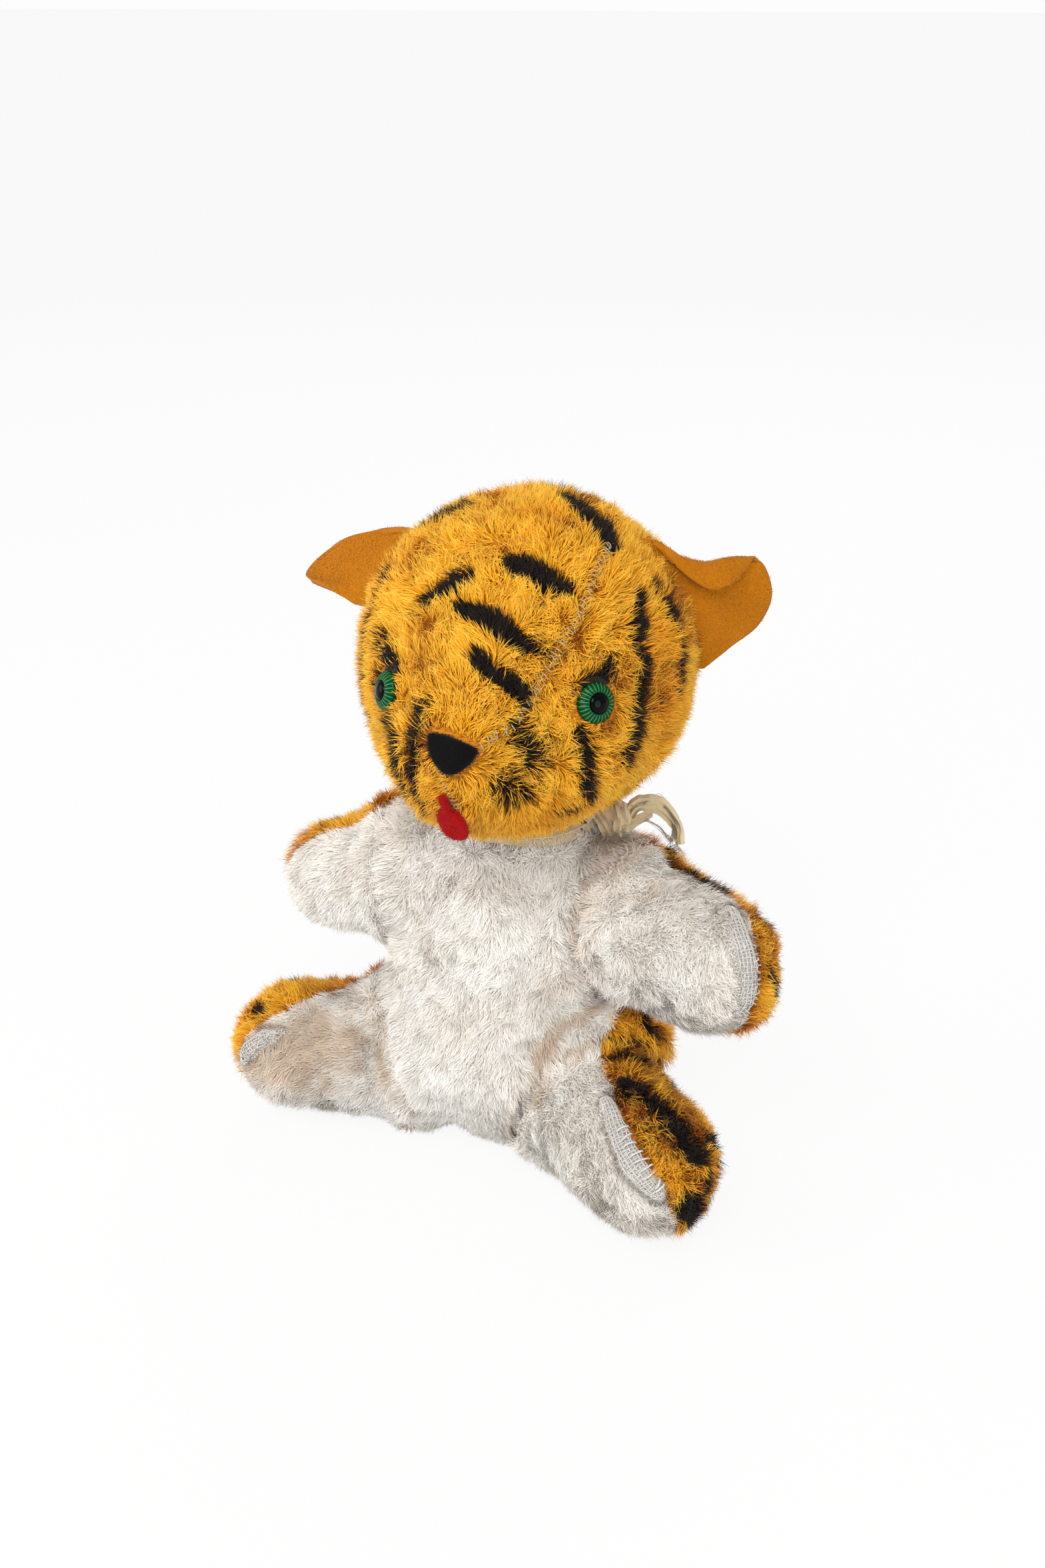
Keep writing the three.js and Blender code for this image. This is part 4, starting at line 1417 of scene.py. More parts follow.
    def limbs(self) -> list[StuffedPart]:
        """The four limbs with what the picture shows on each."""
        arm, leg = self.arm_left, self.leg_left
        left_arm = self.limb(
            "arm_left", arm, 23,
            stripes=(
                Zone(((43, 8, 106), (55, 1, 108)), 3, 1.3, 0.8),
                Zone(((59, 2, 106.5), (65, 0.5, 105.5), (71, -1, 103)), 4.8, 0.9, 1, 0.2),
                Zone(((93, -17, 90), (95, -16, 84), (94, -10, 77)), 4.2),
                arm.band(0.36, 45, 24, 5),
                arm.band(0.7, 45, 24, 5),
            ),
            bald=(Zone(self.arm_gauze, 7.6, 1.2, 1, 0.5),),
            seams=(Seam(self.arm_seam, (0.4, 0.8, 0.5), 14),),
            bulges=(
                Bulge((94, -12, 86), (-1, 0.2, 0.1), 2.4, 17),
                Bulge((80, -24, 70), (0, 0.2, 1), 2.0, 15),
            ),
            # Painted shade where the arm meets the chest, and a darker band beside the worn seam at the paw
            soiled=(
                Zone(((50, -14, 104), (46, -22, 96), (44, -24, 86)), 9, 6, 0.4),
                Zone(((84, -18, 100), (87, -28, 84)), 8, 4, 0.25),
            ),
        )
        right_arm = self.limb(
            "arm_right", self.arm_right, 31,
            stripes=(
                Zone(((-53, -1, 102), (-51, 6, 102)), 3.2),
                Zone(((-64, -4, 98), (-57, 0, 102)), 3, 1.5, 0.7),
                self.arm_right.band(0.5, 55, 21, 5),
                self.arm_right.band(0.85, 55, 20, 5),
            ),
            seams=(
                Seam(((-68, -15, 94.5), (-63, -14, 96.5), (-56.5, -12.5, 99.3), (-50, -10.5, 102),
                    (-43.7, -7, 104.6), (-38, -5, 107)), (0, 0.8, 0.6), 12),
            ),
            # Painted shade where the arm meets the chest
            soiled=(Zone(((-40, -18, 96), (-44, -22, 86)), 10, 6, 0.3),),
        )
        left_leg = self.limb(
            "leg_left", leg, 41,
            stripes=(
                Zone(((46, -4, 42), (53, -9, 42)), 3.4),
                self.haunch_stripe,
                Zone(((51.7, -31.8, 48.7), (58.3, -30.5, 48.2), (67.5, -35.5, 47), (74.1, -41.5, 44.2),
                    (79.1, -43.2, 40.4), (83.7, -39, 34.5)), 6.4, 1.4, 1, 0.2),
                Zone(((51, -34, 48.6), (58, -35, 48.4)), 9, 3.0, 0.55),
                Zone(((64, -42, 47.5), (70, -46, 45), (76, -49, 40)), 8, 3.0, 0.4),
                Zone(((84.5, -39, 33), (85.3, -41, 27), (85, -44, 21)), 3.6, 1.1),
                Zone(((81, -51, 25), (83.5, -47, 20), (83, -45, 12)), 8.5, 1.5, 1, 0.1),
                leg.band(0.45, 50, 24, 5),
                leg.band(0.8, 45, 24, 6),
            ),
            # Painted shade in the crease against the belly
            bald=(Zone(self.leg_gauze, 7.8, 1.2, 1, 0.5),), soiled=(Zone(self.crease, 3.6, 2, 1.0),),
            bulges=(
                Bulge((36, -36, 42), (0.2, -0.8, 0.6), 2.2, 14),
                *(Bulge(place, (-0.2, -0.7, 0.3), -3.2, 5.5) for place in self.crease[:3]),
            ),
            seams=(Seam(self.leg_seam, (0.6, 0.8, 0.3), 12),),
        )
        right_leg = self.limb(
            "leg_right", self.leg_right, 53,
            stripes=(
                Zone(((-77, -35, 43), (-72, -38, 43)), 5.5),
                self.leg_right.band(0.35, 50, 24, 5),
                self.leg_right.band(0.62, 55, 24, 5),
            ),
            bald=(Zone(self.right_gauze, 6.4, 1.4, 1, 0.5),),
            seams=(
                Seam(((-51.5, -18.9, 48.4), (-42, -4, 48)), (-0.3, 1, 0), 32),
                Seam(((-78.9, -46.4, 25.3), (-74.9, -46.1, 35), (-70.3, -43.7, 40.5), (-65.4, -40.3, 44.7),
                    (-58.4, -31.7, 47.7), (-51.5, -18.9, 48.4)), (-0.3, 0.8, 0.5), 12),
            ),
            # Darker along the white inner leg, partly dirt and partly painted shade under the belly; painted
            # shade in the crease against the belly
            soiled=(
                Zone(((-40, -34, 38), (-56, -44, 34), (-70, -50, 28)), 30, 10, 0.95),
                Zone(self.right_crease, 3.2, 2, 1.0),
            ),
            bulges=tuple(Bulge(place, (0.3, -0.8, 0.4), -3.2, 6) for place in self.right_crease),
        )
        return [left_arm, right_arm, left_leg, right_leg]

    def tail(self) -> StuffedPart:
        """The curled tail."""
        rings = []
        for share in (0.3, 0.55, 0.8):
            x, y = -42 * share * share, 37 + 34 * share
            around = [(math.cos(turn), math.sin(turn)) for turn in np.linspace(0, math.tau, 7)]
            path = [(x + 6 * level, y + 2 * level, 8 + 6 * rise) for level, rise in around]
            rings.append(Zone(tuple(path), 4.5, 1.0))
        return StuffedPart(
            "tail", (), ("tail",), "tail", combed=np.array([-0.6, 0.6, -0.1]),
            axis=np.array([-0.7, 0.7, 0.0]), seed=61, grain=1.0, inset=2.6, stripes=tuple(rings),
        )

    def neck(self) -> StuffedPart:
        """The round pad between the body and the head."""
        return StuffedPart(
            "neck", (), ("neck_stuffing",), "neck_stuffing", combed=np.array([0.0, 0.0, -1.0]), axis=UP,
            seed=67, fill=0.9, inset=1.6, rests=False, furred=False,
        )


class Head:
    """The head: its stripes, its seams and what sits on it."""

    seam_left = (
        (21, -63, 163), (25, -61, 166), (28, -58, 168), (30, -54, 172), (32, -49, 178),
        (34, -42, 185), (36, -34, 192), (36, -28, 196), (36, -20, 201), (35, -10, 205),
    )
    philtrum = ((9, -67, 157), (12, -67, 153), (14, -66, 149), (15, -63, 145))
    nose_place = (15.0, -68.0, 163.0)

    def stripes(self) -> tuple[Zone, ...]:
        """The black print, from the picture in front and of the same kind behind."""
        seen = (
            Zone(((-6, -42, 193), (0, -40, 197), (4.5, -37.5, 200.5)), 5.6, 0.7, 1, 0.2),
            Zone(((-5, -42, 193), (-8, -44, 189)), 3.4, 1.4, 0.5),
            Zone(((16, -33, 203), (22, -32.6, 202), (31, -31.4, 198.6)), 6.8, 0.6, 1, 0.2),
            Zone(((13, -34, 203), (17, -33, 203)), 4.0, 1.5, 0.5),
            Zone(((6.5, -44.7, 194), (16.7, -45.4, 191.6), (26, -46.6, 186.4)), 6.0, 0.6, 1, 0.2),
            Zone(((26, -46, 188), (31, -45, 185)), 4.6, 1.5, 0.55),
            Zone(((14.5, -53, 184), (21.4, -53.6, 180), (28, -52.8, 176.2)), 5.2, 0.7, 1, 0.2),
            Zone(((28, -54, 175), (30.5, -53, 172.5)), 3.4, 0.9),
            Zone(((46, -14, 193), (49, -22, 183), (52, -23, 178), (52, -27, 170), (52, -31, 159),
                (52, -32, 150)), 5.0, 1.2),
            Zone(((46, -4, 194), (50, -5, 189), (53, -2, 182), (56, -5, 172), (57, -11, 165)), 4.2, 1.3, 0.9),
            Zone(((39.5, -42.5, 175), (43.8, -36.7, 177.5), (45.5, -32, 181)), 4.6, 1.4, 0.85),
            Zone(((41, -44, 163), (44, -45, 156), (44, -44, 148), (45, -41, 141)), 5.2, 1.6, 0.9),
            Zone(((31, -57, 168), (35, -56, 161), (34, -57, 156)), 8.0, 2.6, 0.8),
            Zone(((26, -61, 151), (34, -56, 147)), 9.0, 2.8, 0.72),
            Zone(((30, -57, 157), (29, -59, 152)), 7.0, 3.0, 0.5),
            Zone(((37, -47, 138), (44, -39, 138)), 3.4, 1.4, 0.8),
            Zone(((-20, -42, 180), (-14.6, -47.9, 177.5), (-10.8, -51.3, 174.5)), 7.5, 2.4, 0.8),
            Zone(((-19, -45.5, 174), (-18, -47, 168)), 3.6, 1.5, 0.7),
            Zone(
                ((3, -59.5, 172), (0.5, -62, 164), (0, -63, 156), (0.5, -63, 147), (1.5, -59, 138)),
                5.2, 1.6, 0.95,
            ),
            Zone(((-10, -56.5, 164), (-8.4, -58.3, 156), (-7, -57.6, 148), (-4.5, -56, 141)), 4.6, 1.4, 0.95),
            Zone(((-25, -8, 201), (-19, -9, 205), (-14, -10.5, 208), (-9, -12, 209.6)), 7.5, 1.5, 0.9),
            Zone(((18, -1, 212), (25, -4, 210.5), (31, -6, 208), (35, -10, 204.5)), 7.5, 1.2, 1, 0.2),
        )
        behind = ((112, 30, -22), (138, 40, -12), (163, 26, -26))
        arcs = [(side * left, -4 * side, high, low, 4.2) for side in (-1, 1) for left, high, low in behind]
        arcs += [(-64, 4, 34, -18, 4.0), (-84, 4, 24, -30, 4.0)]
        hidden = []
        for left, turn, high, low, width in arcs:
            path = tuple(HEAD.spot(left + turn * k, high + (low - high) * k / 3) for k in range(4))
            hidden.append(Zone(path, width, 1.3))
        hidden.append(Zone(tuple(HEAD.spot(left, 66) for left in (150, 180, 210)), 4.5, 1.2))
        return (*seen, *hidden)

    def part(self) -> StuffedPart:
        """The stuffed ball itself."""
        return StuffedPart(
            "head", (), ("head_gusset", "head_side_left", "head_side_right"), "head_stuffing",
            combed=np.array([0.0, 0.1, 0.25]), axis=UP, seed=71, fill=0.85, stripes=self.stripes(),
            partings=(
                Zone(self.seam_left, 3.8, 1.0),
                Zone(self.philtrum, 3.0, 1.0, 0.8),
            ),
            bulges=(Bulge((48, -24, 133), (-0.75, 0.2, 0.6), 4.2, 20),),
            # Painted shade under the chin and down the sides of the head
            soiled=(
                Zone(((8, -60, 138), (30, -52, 134), (46, -38, 134)), 24, 8, 0.6),
                Zone(((55, -24, 188), (57, -22, 168), (54, -30, 150)), 26, 8, 0.55),
                Zone(((-34, -30, 190), (-36, -38, 165), (-20, -48, 145)), 20, 8, 0.4),
            ),
            nose=np.array(self.nose_place), rests=False,
        )


@dataclass
class Eye:
    """A ribbed disc in one with its stem, and the black centre set in it."""

    side: str
    ribs: int = 26
    around: int = 156
    size: float = 0.79
    lift: float = 0.9

    def frame(self) -> tuple[Array, Array, Array, Array]:
        """The middle of the disc's base with the ways across, up and out, found from the CAD nodes."""
        pupil = node_points(f"pupil_{self.side}")
        washer = node_points(f"eye_washer_{self.side}")
        disc = node_points(f"eye_{self.side}")
        out = unit(pupil.mean(axis=0) - washer.mean(axis=0))
        away = disc - washer.mean(axis=0)
        high = away @ out
        wide = np.linalg.norm(away - high[:, None] * out, axis=1)
        rim = high[wide > 0.9 * wide.max()].max()
        across = unit(np.cross(UP, out))
        middle = washer.mean(axis=0) + out * rim + np.cross(out, across) * self.lift * MM
        return middle, across, np.cross(out, across), out

    def turned(self, build: Build, profile: Sequence[tuple[float, float, float]], ribs: float) -> None:
        """Adds a turned form.

        Args:
            build: Where it goes.
            profile: Radius, height and share of the ribs at each ring, from the outside in.
            ribs: How high the ribs stand.
        """
        middle, across, rise, out = self.frame()
        angle = np.arange(self.around) / self.around * math.tau
        wave = 0.5 + 0.5 * np.cos(self.ribs * angle)
        flat = across * np.cos(angle)[:, None] + rise * np.sin(angle)[:, None]
        rows, tints = [], []
        for radius, height, share in profile:
            lift = height + share * ribs * wave
            rows.append(middle + (flat * radius * self.size + out * lift[:, None]) * MM)
            # The crests of the ribs carry the painted glint
            tints.append(share * wave**9)
        net = np.stack(rows)
        build.net(net, np.zeros((*net.shape[:2], 2)), closed=True, tint=np.stack(tints))

    def build(self, disc: Material, bead: Material) -> Object:
        """Makes the disc with its stem, and the bead. Gives the disc back."""
        shell = Build()
        stem = [(0.05, -9.5, 0), (1.5, -9.5, 0), (1.5, -1.1, 0)]
        rim = [(6.5, -1.1, 0), (6.8, -0.9, 0), (6.85, -0.4, 0)]
        ribbed = []
        for share in np.linspace(0, 1, 9):
            ribs = math.sin(math.pi * min(1.0, 0.12 + 0.88 * share)) ** 0.6
            ribbed.append((6.75 - share * 3.1, 0.1 + 1.5 * math.sin(share * 1.45), ribs))
        profile = [*stem, *rim, *ribbed, (3.5, 1.4, 0), (3.4, 1.1, 0), (0.05, 1.05, 0)]
        self.turned(shell, profile, 0.2)
        shown = shell.done(f"eye_{self.side}_disc", "head", disc)
        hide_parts(f"eye_{self.side}")
        dome = Build()
        turns = np.linspace(0, math.pi / 2 - 0.02, 9)
        rounds = [(3.45 * math.cos(turn), 1.2 + 1.2 * math.sin(turn), 0) for turn in turns]
        self.turned(dome, [(0.05, 1.15, 0), (3.35, 1.15, 0), *rounds], 0)
        obj = dome.done(f"pupil_{self.side}_bead", "head", bead)
        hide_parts(f"pupil_{self.side}")
        return shown


def node_points(node: str) -> Array:
    """The vertices of a CAD node."""
    return np.array([vertex.co for vertex in cad(node).vertices])


@dataclass
class FeltPiece:
    """The nose or the tongue, cut from felt and rounded by wear."""

    node: str
    slot: str
    fuzz: tuple[Colour, Colour]
    seed: int
    shrink: Point
    hangs: bool
    slide: float

    def settle(self, points: Array) -> Array:
        """Draws the piece in and leans it over as the worn one is, from its top where it hangs."""
        low, high = points.min(axis=0), points.max(axis=0)
        anchor = (low + high) / 2
        anchor[2] = high[2] if self.hangs else low[2]
        moved = anchor + (points - anchor) * np.array(self.shrink)
        moved[:, 0] += self.slide * MM * (high[2] - points[:, 2]) / (high[2] - low[2])
        return moved

    def build(self, felt: Material, pile: Material) -> Object:
        """Makes the felt and the loose fibres on it. Gives the felt back."""
        surface = Surface.joined((self.node,), 0.35 * MM)
        surface.points = self.settle(surface.points)
        surface.smooth(14)
        surface.points += surface.normals() * 0.2 * MM
        mesh = mesh_of(self.node + "_felt", surface.points, surface.faces)
        obj = placed(mesh.name, "head", mesh, felt)
        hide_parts(self.node)
        fluff(surface, self.node + "_fuzz", "head", pile, self.fuzz, self.seed)
        return obj


def fluff(
    surface: Surface,
    name: str,
    body: str,
    material: Material,
    shades: tuple[Colour, Colour],
    seed: int,
    density: float = 5.0,
    length: float = 1.0,
) -> None:
    """Grows the short loose fibres of felt.

    Args:
        surface: The felt.
        name: Name of the piece.
        body: The body it moves with.
        material: Its finish.
        shades: The colour at the root and at the tip.
        seed: Source of its chance.
        density: Fibres for each square millimetre.
        length: Their length in millimetres.
    """
    rng = np.random.default_rng(seed)
    root, tip = shades
    wool = Pile(
        length=length, width=0.12, density=density, lean=66, clump=1.5, pull=0.5, swirl=1.0, mixed=0.5,
        root=root, middle=root, tip=tip, other=tip, backing=root,
    )
    spots = surface.scatter(np.full(len(surface.points), density / MM**2), rng)
    roots = surface.read(surface.points, *spots)
    normals = unit(surface.read(surface.normals(), *spots))
    strands = Strands(wool, roots, normals, np.ones(len(roots)), np.zeros(len(roots)), rng, Noise(seed))
    strands.comb(np.zeros(3))
    strands.bend()
    strands.build(name, body, material)


@dataclass
class Ear:
    """A felt ear, bent where it is sewn in."""

    side: str
    top: Pair
    low: Pair
    rim: tuple[Point, ...]
    arch: float
    flat: Pair
    area: float
    seed: int
    inset: float = 6.5
    along: int = 44
    outward: int = 26
    thickness: float = 1.9

    def middle(self) -> Array:
        """The sheet's middle as rows of points in the toy's frame, in metres."""
        ways = [HEAD.direction(*place) for place in (self.top, self.low)]
        top, low = (way * HEAD.reach(way) for way in ways)
        rim = spline(np.array(self.rim, float), self.along + 1)
        rows = []
        for i, edge in enumerate(rim):
            u = i / self.along
            way = unit(top + (low - top) * u)
            seat = way * (HEAD.reach(way) - self.inset)
            v = np.linspace(0, 1, self.outward + 1)[:, None]
            arch = self.arch * np.sin(math.pi * v) * math.sin(math.pi * math.sqrt(u)) ** 2
            rows.append(seat + (edge - seat) * v + arch * UP)
        points = np.stack(rows)
        noise = Noise(self.seed)
        flat = points.reshape(-1, 3)
        bent = np.stack([noise.at(flat, 11), noise.at(flat, 9), noise.at(flat, 8)], axis=1) * 0.5
        return HEAD.placed(flat + bent).reshape(points.shape) * MM

    def build(self, felt: Material, pile: Material) -> None:
        """Makes the sheet, its thickness and its loose fibres."""
        points = self.middle()
        rows, columns = points.shape[:2]
        build = Build()
        build.net(points, np.stack(np.indices((rows, columns)), axis=-1))
        body = f"ear_{self.side}"
        obj = build.done(f"{body}_felt", body, felt)
        solid = obj.modifiers.new("thickness", "SOLIDIFY")
        solid.thickness = self.thickness * MM
        solid.offset = 0
        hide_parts(body)
        ways = unit(np.cross(np.gradient(points, axis=0), np.gradient(points, axis=1)))
        faces = net_faces(np.arange(rows * columns).reshape(rows, columns))
        # The loose fibres are darker at the root, painted shade, and lighter at the tip, painted highlight
        shades = (srgb(184, 112, 4), srgb(236, 170, 44))
        for offset, face in ((-1, "front"), (1, "back")):
            layer = points + ways * offset * self.thickness / 2 * MM
            surface = Surface(layer.reshape(-1, 3), faces[:, ::offset])
            fluff(surface, f"{body}_fuzz_{face}", body, pile, shades, self.seed + offset, 4.0, 0.9)


def spline(points: Array, count: int) -> Array:
    """A smooth line through points.

    Args:
        points: What it passes through.
        count: Number of points of the line.

    Returns:
        The line.
    """
    ends = np.concatenate([[2 * points[0] - points[1]], points, [2 * points[-1] - points[-2]]])
    place = np.linspace(0, len(points) - 1, count)
    start = np.minimum(place.astype(int), len(points) - 2)
    t = (place - start)[:, None]
    a, b, c, d = (ends[start + k] for k in range(4))
    return 0.5 * (2 * b + (c - a) * t + (2 * a - 5 * b + 4 * c - d) * t**2 + (3 * b - a - 3 * c + d) * t**3)


def sewn_line(path: Sequence[Point], count: int, tree: BVHTree) -> tuple[Array, Array]:
    """Lays a smooth line onto the cloth.

    Args:
        path: What it passes through, in millimetres.
        count: Number of its points.
        tree: The cloth.

    Returns:
        Its points, and the way out of the cloth at each.
    """
    found = [tree.find_nearest(point) for point in spline(np.array(path, float), count) * MM]
    return np.array([place for place, *_ in found]), np.array([way for _, way, *_ in found])


@dataclass
class Stitches:
    """Thread laid across a seam or along it."""

    name: str
    path: tuple[Point, ...]
    gap: float
    reach: float
    radius: float
    tilt: float
    lift: float
    loose: float = 0.1
    seed: int = 5

    def build(self, part: StuffedPart, material: Material) -> None:
        """Lays the threads on the cloth.

        Args:
            part: What they are sewn to.
            material: Their finish.
        """
        rng = np.random.default_rng(self.seed)
        line, ways = sewn_line(self.path, 200, part.surface.tree())
        steps = travel(line)
        share = np.linspace(-1, 1, 7)[:, None]
        arch = (1 - share**4) * self.lift + 0.1
        build = Build()
        for place in np.arange(self.gap / 2, steps[-1] / MM, self.gap):
            spot = (place + rng.normal(0, 0.12 * self.gap)) * MM
            k = int(np.searchsorted(steps, spot).clip(1, len(line) - 2))
            along = unit(line[k + 1] - line[k - 1])
            across = unit(np.cross(ways[k], along)) + along * (self.tilt + rng.normal(0, self.loose))
            reach = self.reach * (0.8 + 0.4 * rng.random())
            thread = line[k] + (across * share * reach / 2 + ways[k] * arch) * MM
            build.tube(thread, self.radius * MM)
        build.done(self.name, part.name, material)


@dataclass
class Gauze:
    """The crossed threads of the backing, bare where the pile has worn away."""

    name: str
    path: tuple[Point, ...]
    width: float
    gap: float = 1.15
    radius: float = 0.23

    def build(self, part: StuffedPart, material: Material) -> None:
        """Lays the threads on the cloth, over and under one another.

        Args:
            part: The part that they belong to.
            material: Their finish.
        """
        tree = part.surface.tree()
        line, ways = sewn_line(self.path, 120, tree)
        across = unit(np.cross(ways, np.gradient(line, axis=0)))
        length = travel(line)[-1] / MM
        rows = np.linspace(-1, 1, int(self.width / self.gap) + 1) * self.width / 2
        columns = np.linspace(0, len(line) - 1, int(length / self.gap) + 1).astype(int)
        share = np.linspace(-1, 1, len(columns))
        reach = 1 - 0.45 * share**4
        places = np.zeros((len(rows), len(columns), 3))
        for i, row in enumerate(rows):
            for j, column in enumerate(columns):
                spot, normal, *_ = tree.find_nearest(line[column] + across[column] * row * reach[j] * MM)
                places[i, j] = spot + normal * self.radius * 1.2 * MM
        rise = ways[columns] * self.radius * 0.7 * MM
        build = Build()
        for i in range(len(rows)):
            sign = np.where((np.arange(len(columns)) + i) % 2, 1.0, -1.0)[:, None]
            build.tube(places[i] + rise * sign, self.radius * MM, 5)
        for j in range(len(columns)):
            sign = np.where((np.arange(len(rows)) + j) % 2, -1.0, 1.0)[:, None]
            build.tube(places[:, j] + rise[j] * sign, self.radius * MM, 5)
        build.done(self.name, part.name, material)


@dataclass
class Ribbon:
    """The old ribbon round the neck: its band, loops, ends, knot and loose threads."""

    cut: float = 10.0
    loop_cut: float = 7.8
    knot_cut: float = 5.0
    thread: float = 0.06
    band_radius: float = 23.2
    band_height: float = 115.6
    centre: Pair = (3.78, 0.0)
    knot: Point = (35.0, 6.0, 116.2)
    across: Point = (0.906, 0.423, 0.0)
    rise: Point = (-0.198, 0.426, 0.883)
    out: Point = (0.373, -0.8, 0.47)

    def strip(
        self, build: Build, path: Array, rises: Array, folded: Array, seed: int, cut: float, pleats: int = 3
    ) -> None:
        """Adds a pleated strip.

        Args:
            build: Where it goes.
            path: Its middle line, in millimetres.
            rises: The way across its width at each point.
            folded: Its folded width at each point.
            seed: Source of its creases.
            cut: Its flat width.
            pleats: How often it is folded.
        """
        ways = unit(np.gradient(path, axis=0))
        rises = unit(flattened(rises, ways))
        out = np.cross(ways, rises)
        share = np.linspace(-0.5, 0.5, pleats * 8 + 1)
        wave = np.abs(((share + 0.5) * pleats) % 2 - 1) - 0.5
        across = share[None] * folded[:, None]
        depth = np.sqrt(np.maximum(cut**2 - folded**2, 0)) / pleats
        folds = wave[None] * depth[:, None]
        rows = path[:, None] + rises[:, None] * across[..., None] + out[:, None] * folds[..., None]
        noise = Noise(seed)
        flat = rows.reshape(-1, 3)
        flat = flat + 0.35 * noise.vector(flat, 3.0) + 0.2 * noise.vector(flat, 1.3)
        grid = np.stack(np.broadcast_arrays(travel(path)[:, None], share[None] * self.cut), axis=-1)
        build.net(flat.reshape(rows.shape) * MM, grid)

    def build(self, cloth: Material, thread: Material) -> None:
        """Makes the ribbon's pieces."""
        angle = np.linspace(math.radians(-12), math.radians(344), 150)
        x, y = self.centre
        radius, height = self.band_radius, self.band_height + 0.5 * np.sin(3 * angle)
        path = np.stack([x + radius * np.cos(angle), y + radius * np.sin(angle), height], axis=1)
        band = Build()
        self.strip(band, path, np.tile(UP, (150, 1)), np.full(150, 4.4), 81, self.cut)
        obj = band.done("neck_ribbon_band", "torso", cloth)
        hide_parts("neck_ribbon")
        bow = Build()
        length = 0.0
        knot = np.array(self.knot)
        axes = np.array([self.across, self.rise, self.out])
        strips = (
            (((-9.5, 2.2, 0.5), (-8, 0.4, 1.5), (-6.2, -2.5, 2.6), (-4, -6.2, 2.2), (-2.2, -8.6, 1.4)),
                (3.4, 4.4, 5.4), (0, 10)),
            (((-4.2, 4.4, 0.5), (-2.6, 1.2, 2.6), (-0.6, -2.2, 3.2), (-1.0, -5.8, 2.2)), (4.4, 6.8, 4.6),
                (20, -20)),
            (
                ((1.1, -1.4, 2.6), (3, 1.6, 2.8), (5.2, 2.6, 2.6), (9.9, 2.2, 2.0), (13.6, -1.1, 1.4),
                    (16.1, -5.1, 0.9), (16.9, -9.5, 0.4)),
                (3.6, 5.8, 2.2),
                (-15, 40),
            ),
            (((-0.6, -5.2, 1.8), (2.2, -3.8, 2.2), (5.2, -1.8, 1.8), (8, -0.4, 1.2)), (2.6, 2.8, 2.0),
                (30, 50)),
        )
        for number, (points, widths, turns) in enumerate(strips):
            path = spline(np.array(points, float), 60)
            length += travel(path)[-1]
            share = np.linspace(0, 1, 60)
            wide = np.interp(share, (0, 0.45, 1), widths)
            turn = np.radians(np.interp(share, (0, 1), turns))
            ahead = unit(np.gradient(path, axis=0))
            flat = unit(np.stack([-ahead[:, 1], ahead[:, 0], np.zeros(60)], axis=1))
            rises = flat * np.cos(turn)[:, None] + UP * np.sin(turn)[:, None]
            self.strip(bow, path @ axes + knot, rises @ axes, wide, 83 + number, self.loop_cut, 5)
        obj = bow.done("ribbon_bow_loops", "torso", cloth)
        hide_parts("ribbon_bow")
        wrap = Build()
        turn = np.linspace(0, math.tau * 1.15, 40)
        path = np.stack([0.3 * turn - 0.8, 2.4 * np.cos(turn), 1.8 + 1.9 * np.sin(turn)], axis=1)
        rises = np.tile(np.array([1.0, 0.3, 0]) @ axes, (40, 1))
        self.strip(wrap, path @ axes + knot, rises, np.full(40, 3.6), 91, self.knot_cut)
        tie = wrap.done("ribbon_knot", "torso", cloth)
        frayed = self.frayed(knot, axes, thread)
        flat = (self.cut * MM, length * MM)

    def frayed(self, knot: Array, axes: Array, thread: Material) -> Object:
        """Draws the threads that have come out of the ribbon.

        Args:
            knot: Where the ribbon is tied, in millimetres.
            axes: The bow's ways across, up and out.
            thread: Their finish.

        Returns:
            The object.
        """
        rng = np.random.default_rng(97)
        build = Build()
        loop = np.array((
            (5.0, 2.0, 2.0), (9.5, 4.2, 1.6), (13.5, 0.6, 1.2), (15.4, -4.6, 0.9),
            (14.0, -8.6, 0.9), (11.0, -5.0, 1.4), (6.0, -1.4, 2.0),
        ))
        for _ in range(38):
            bent = loop + rng.normal(0, 0.55, loop.shape)
            first = rng.integers(0, 3)
            line = spline(bent[first : first + rng.integers(4, 6)], 26)
            build.tube((knot + line @ axes) * MM, self.thread * MM, 4)
        ends = (
            ((-1.8, -9.4, 1.0), (0.1, -0.9, 0), 1.6),
            ((15.4, -9.6, 0.6), (0.3, -0.9, 0), 3.4),
            ((-0.8, -5.4, 2.4), (-0.5, -0.7, 0), 1.8),
        )
        for start, way, reach in ends:
            for _ in range(16):
                share = np.linspace(0, 1, 8)[:, None]
                root = np.array(start) + rng.normal(0, 0.9, 3) * (1, 0.4, 0.4)
                bend = np.array(way) + rng.normal(0, 0.35, 3)
                path = root + bend * reach * (0.4 + rng.random()) * share + rng.normal(0, 0.5, 3) * share**2
                build.tube((knot + path @ axes) * MM, self.thread * MM, 4)
        return build.done("ribbon_loose_threads", "torso", thread)


# Studio


TARGET = Vector((0, 0, 0.1))  # where the camera and the lamps look


def aim(obj: Object, place: Vector) -> None:
    """Puts a lamp or the camera somewhere and turns it to the toy."""
    obj.location = place
    obj.rotation_euler = (TARGET - place).to_track_quat("-Z", "Y").to_euler()


@dataclass(frozen=True)
class Lamp:
    """A large soft lamp."""

    name: str
    place: Point
    size: float
    power: float
    colour: Colour = (1.0, 1.0, 1.0)

    def build(self) -> None:
        """Hangs the lamp and turns it to the toy."""
        data = bpy.data.lights.new(self.name, "AREA")
        data.shape = "DISK"
        data.size = self.size
        data.energy = self.power
        data.color = self.colour
        aim(linked(self.name, data), Vector(self.place))


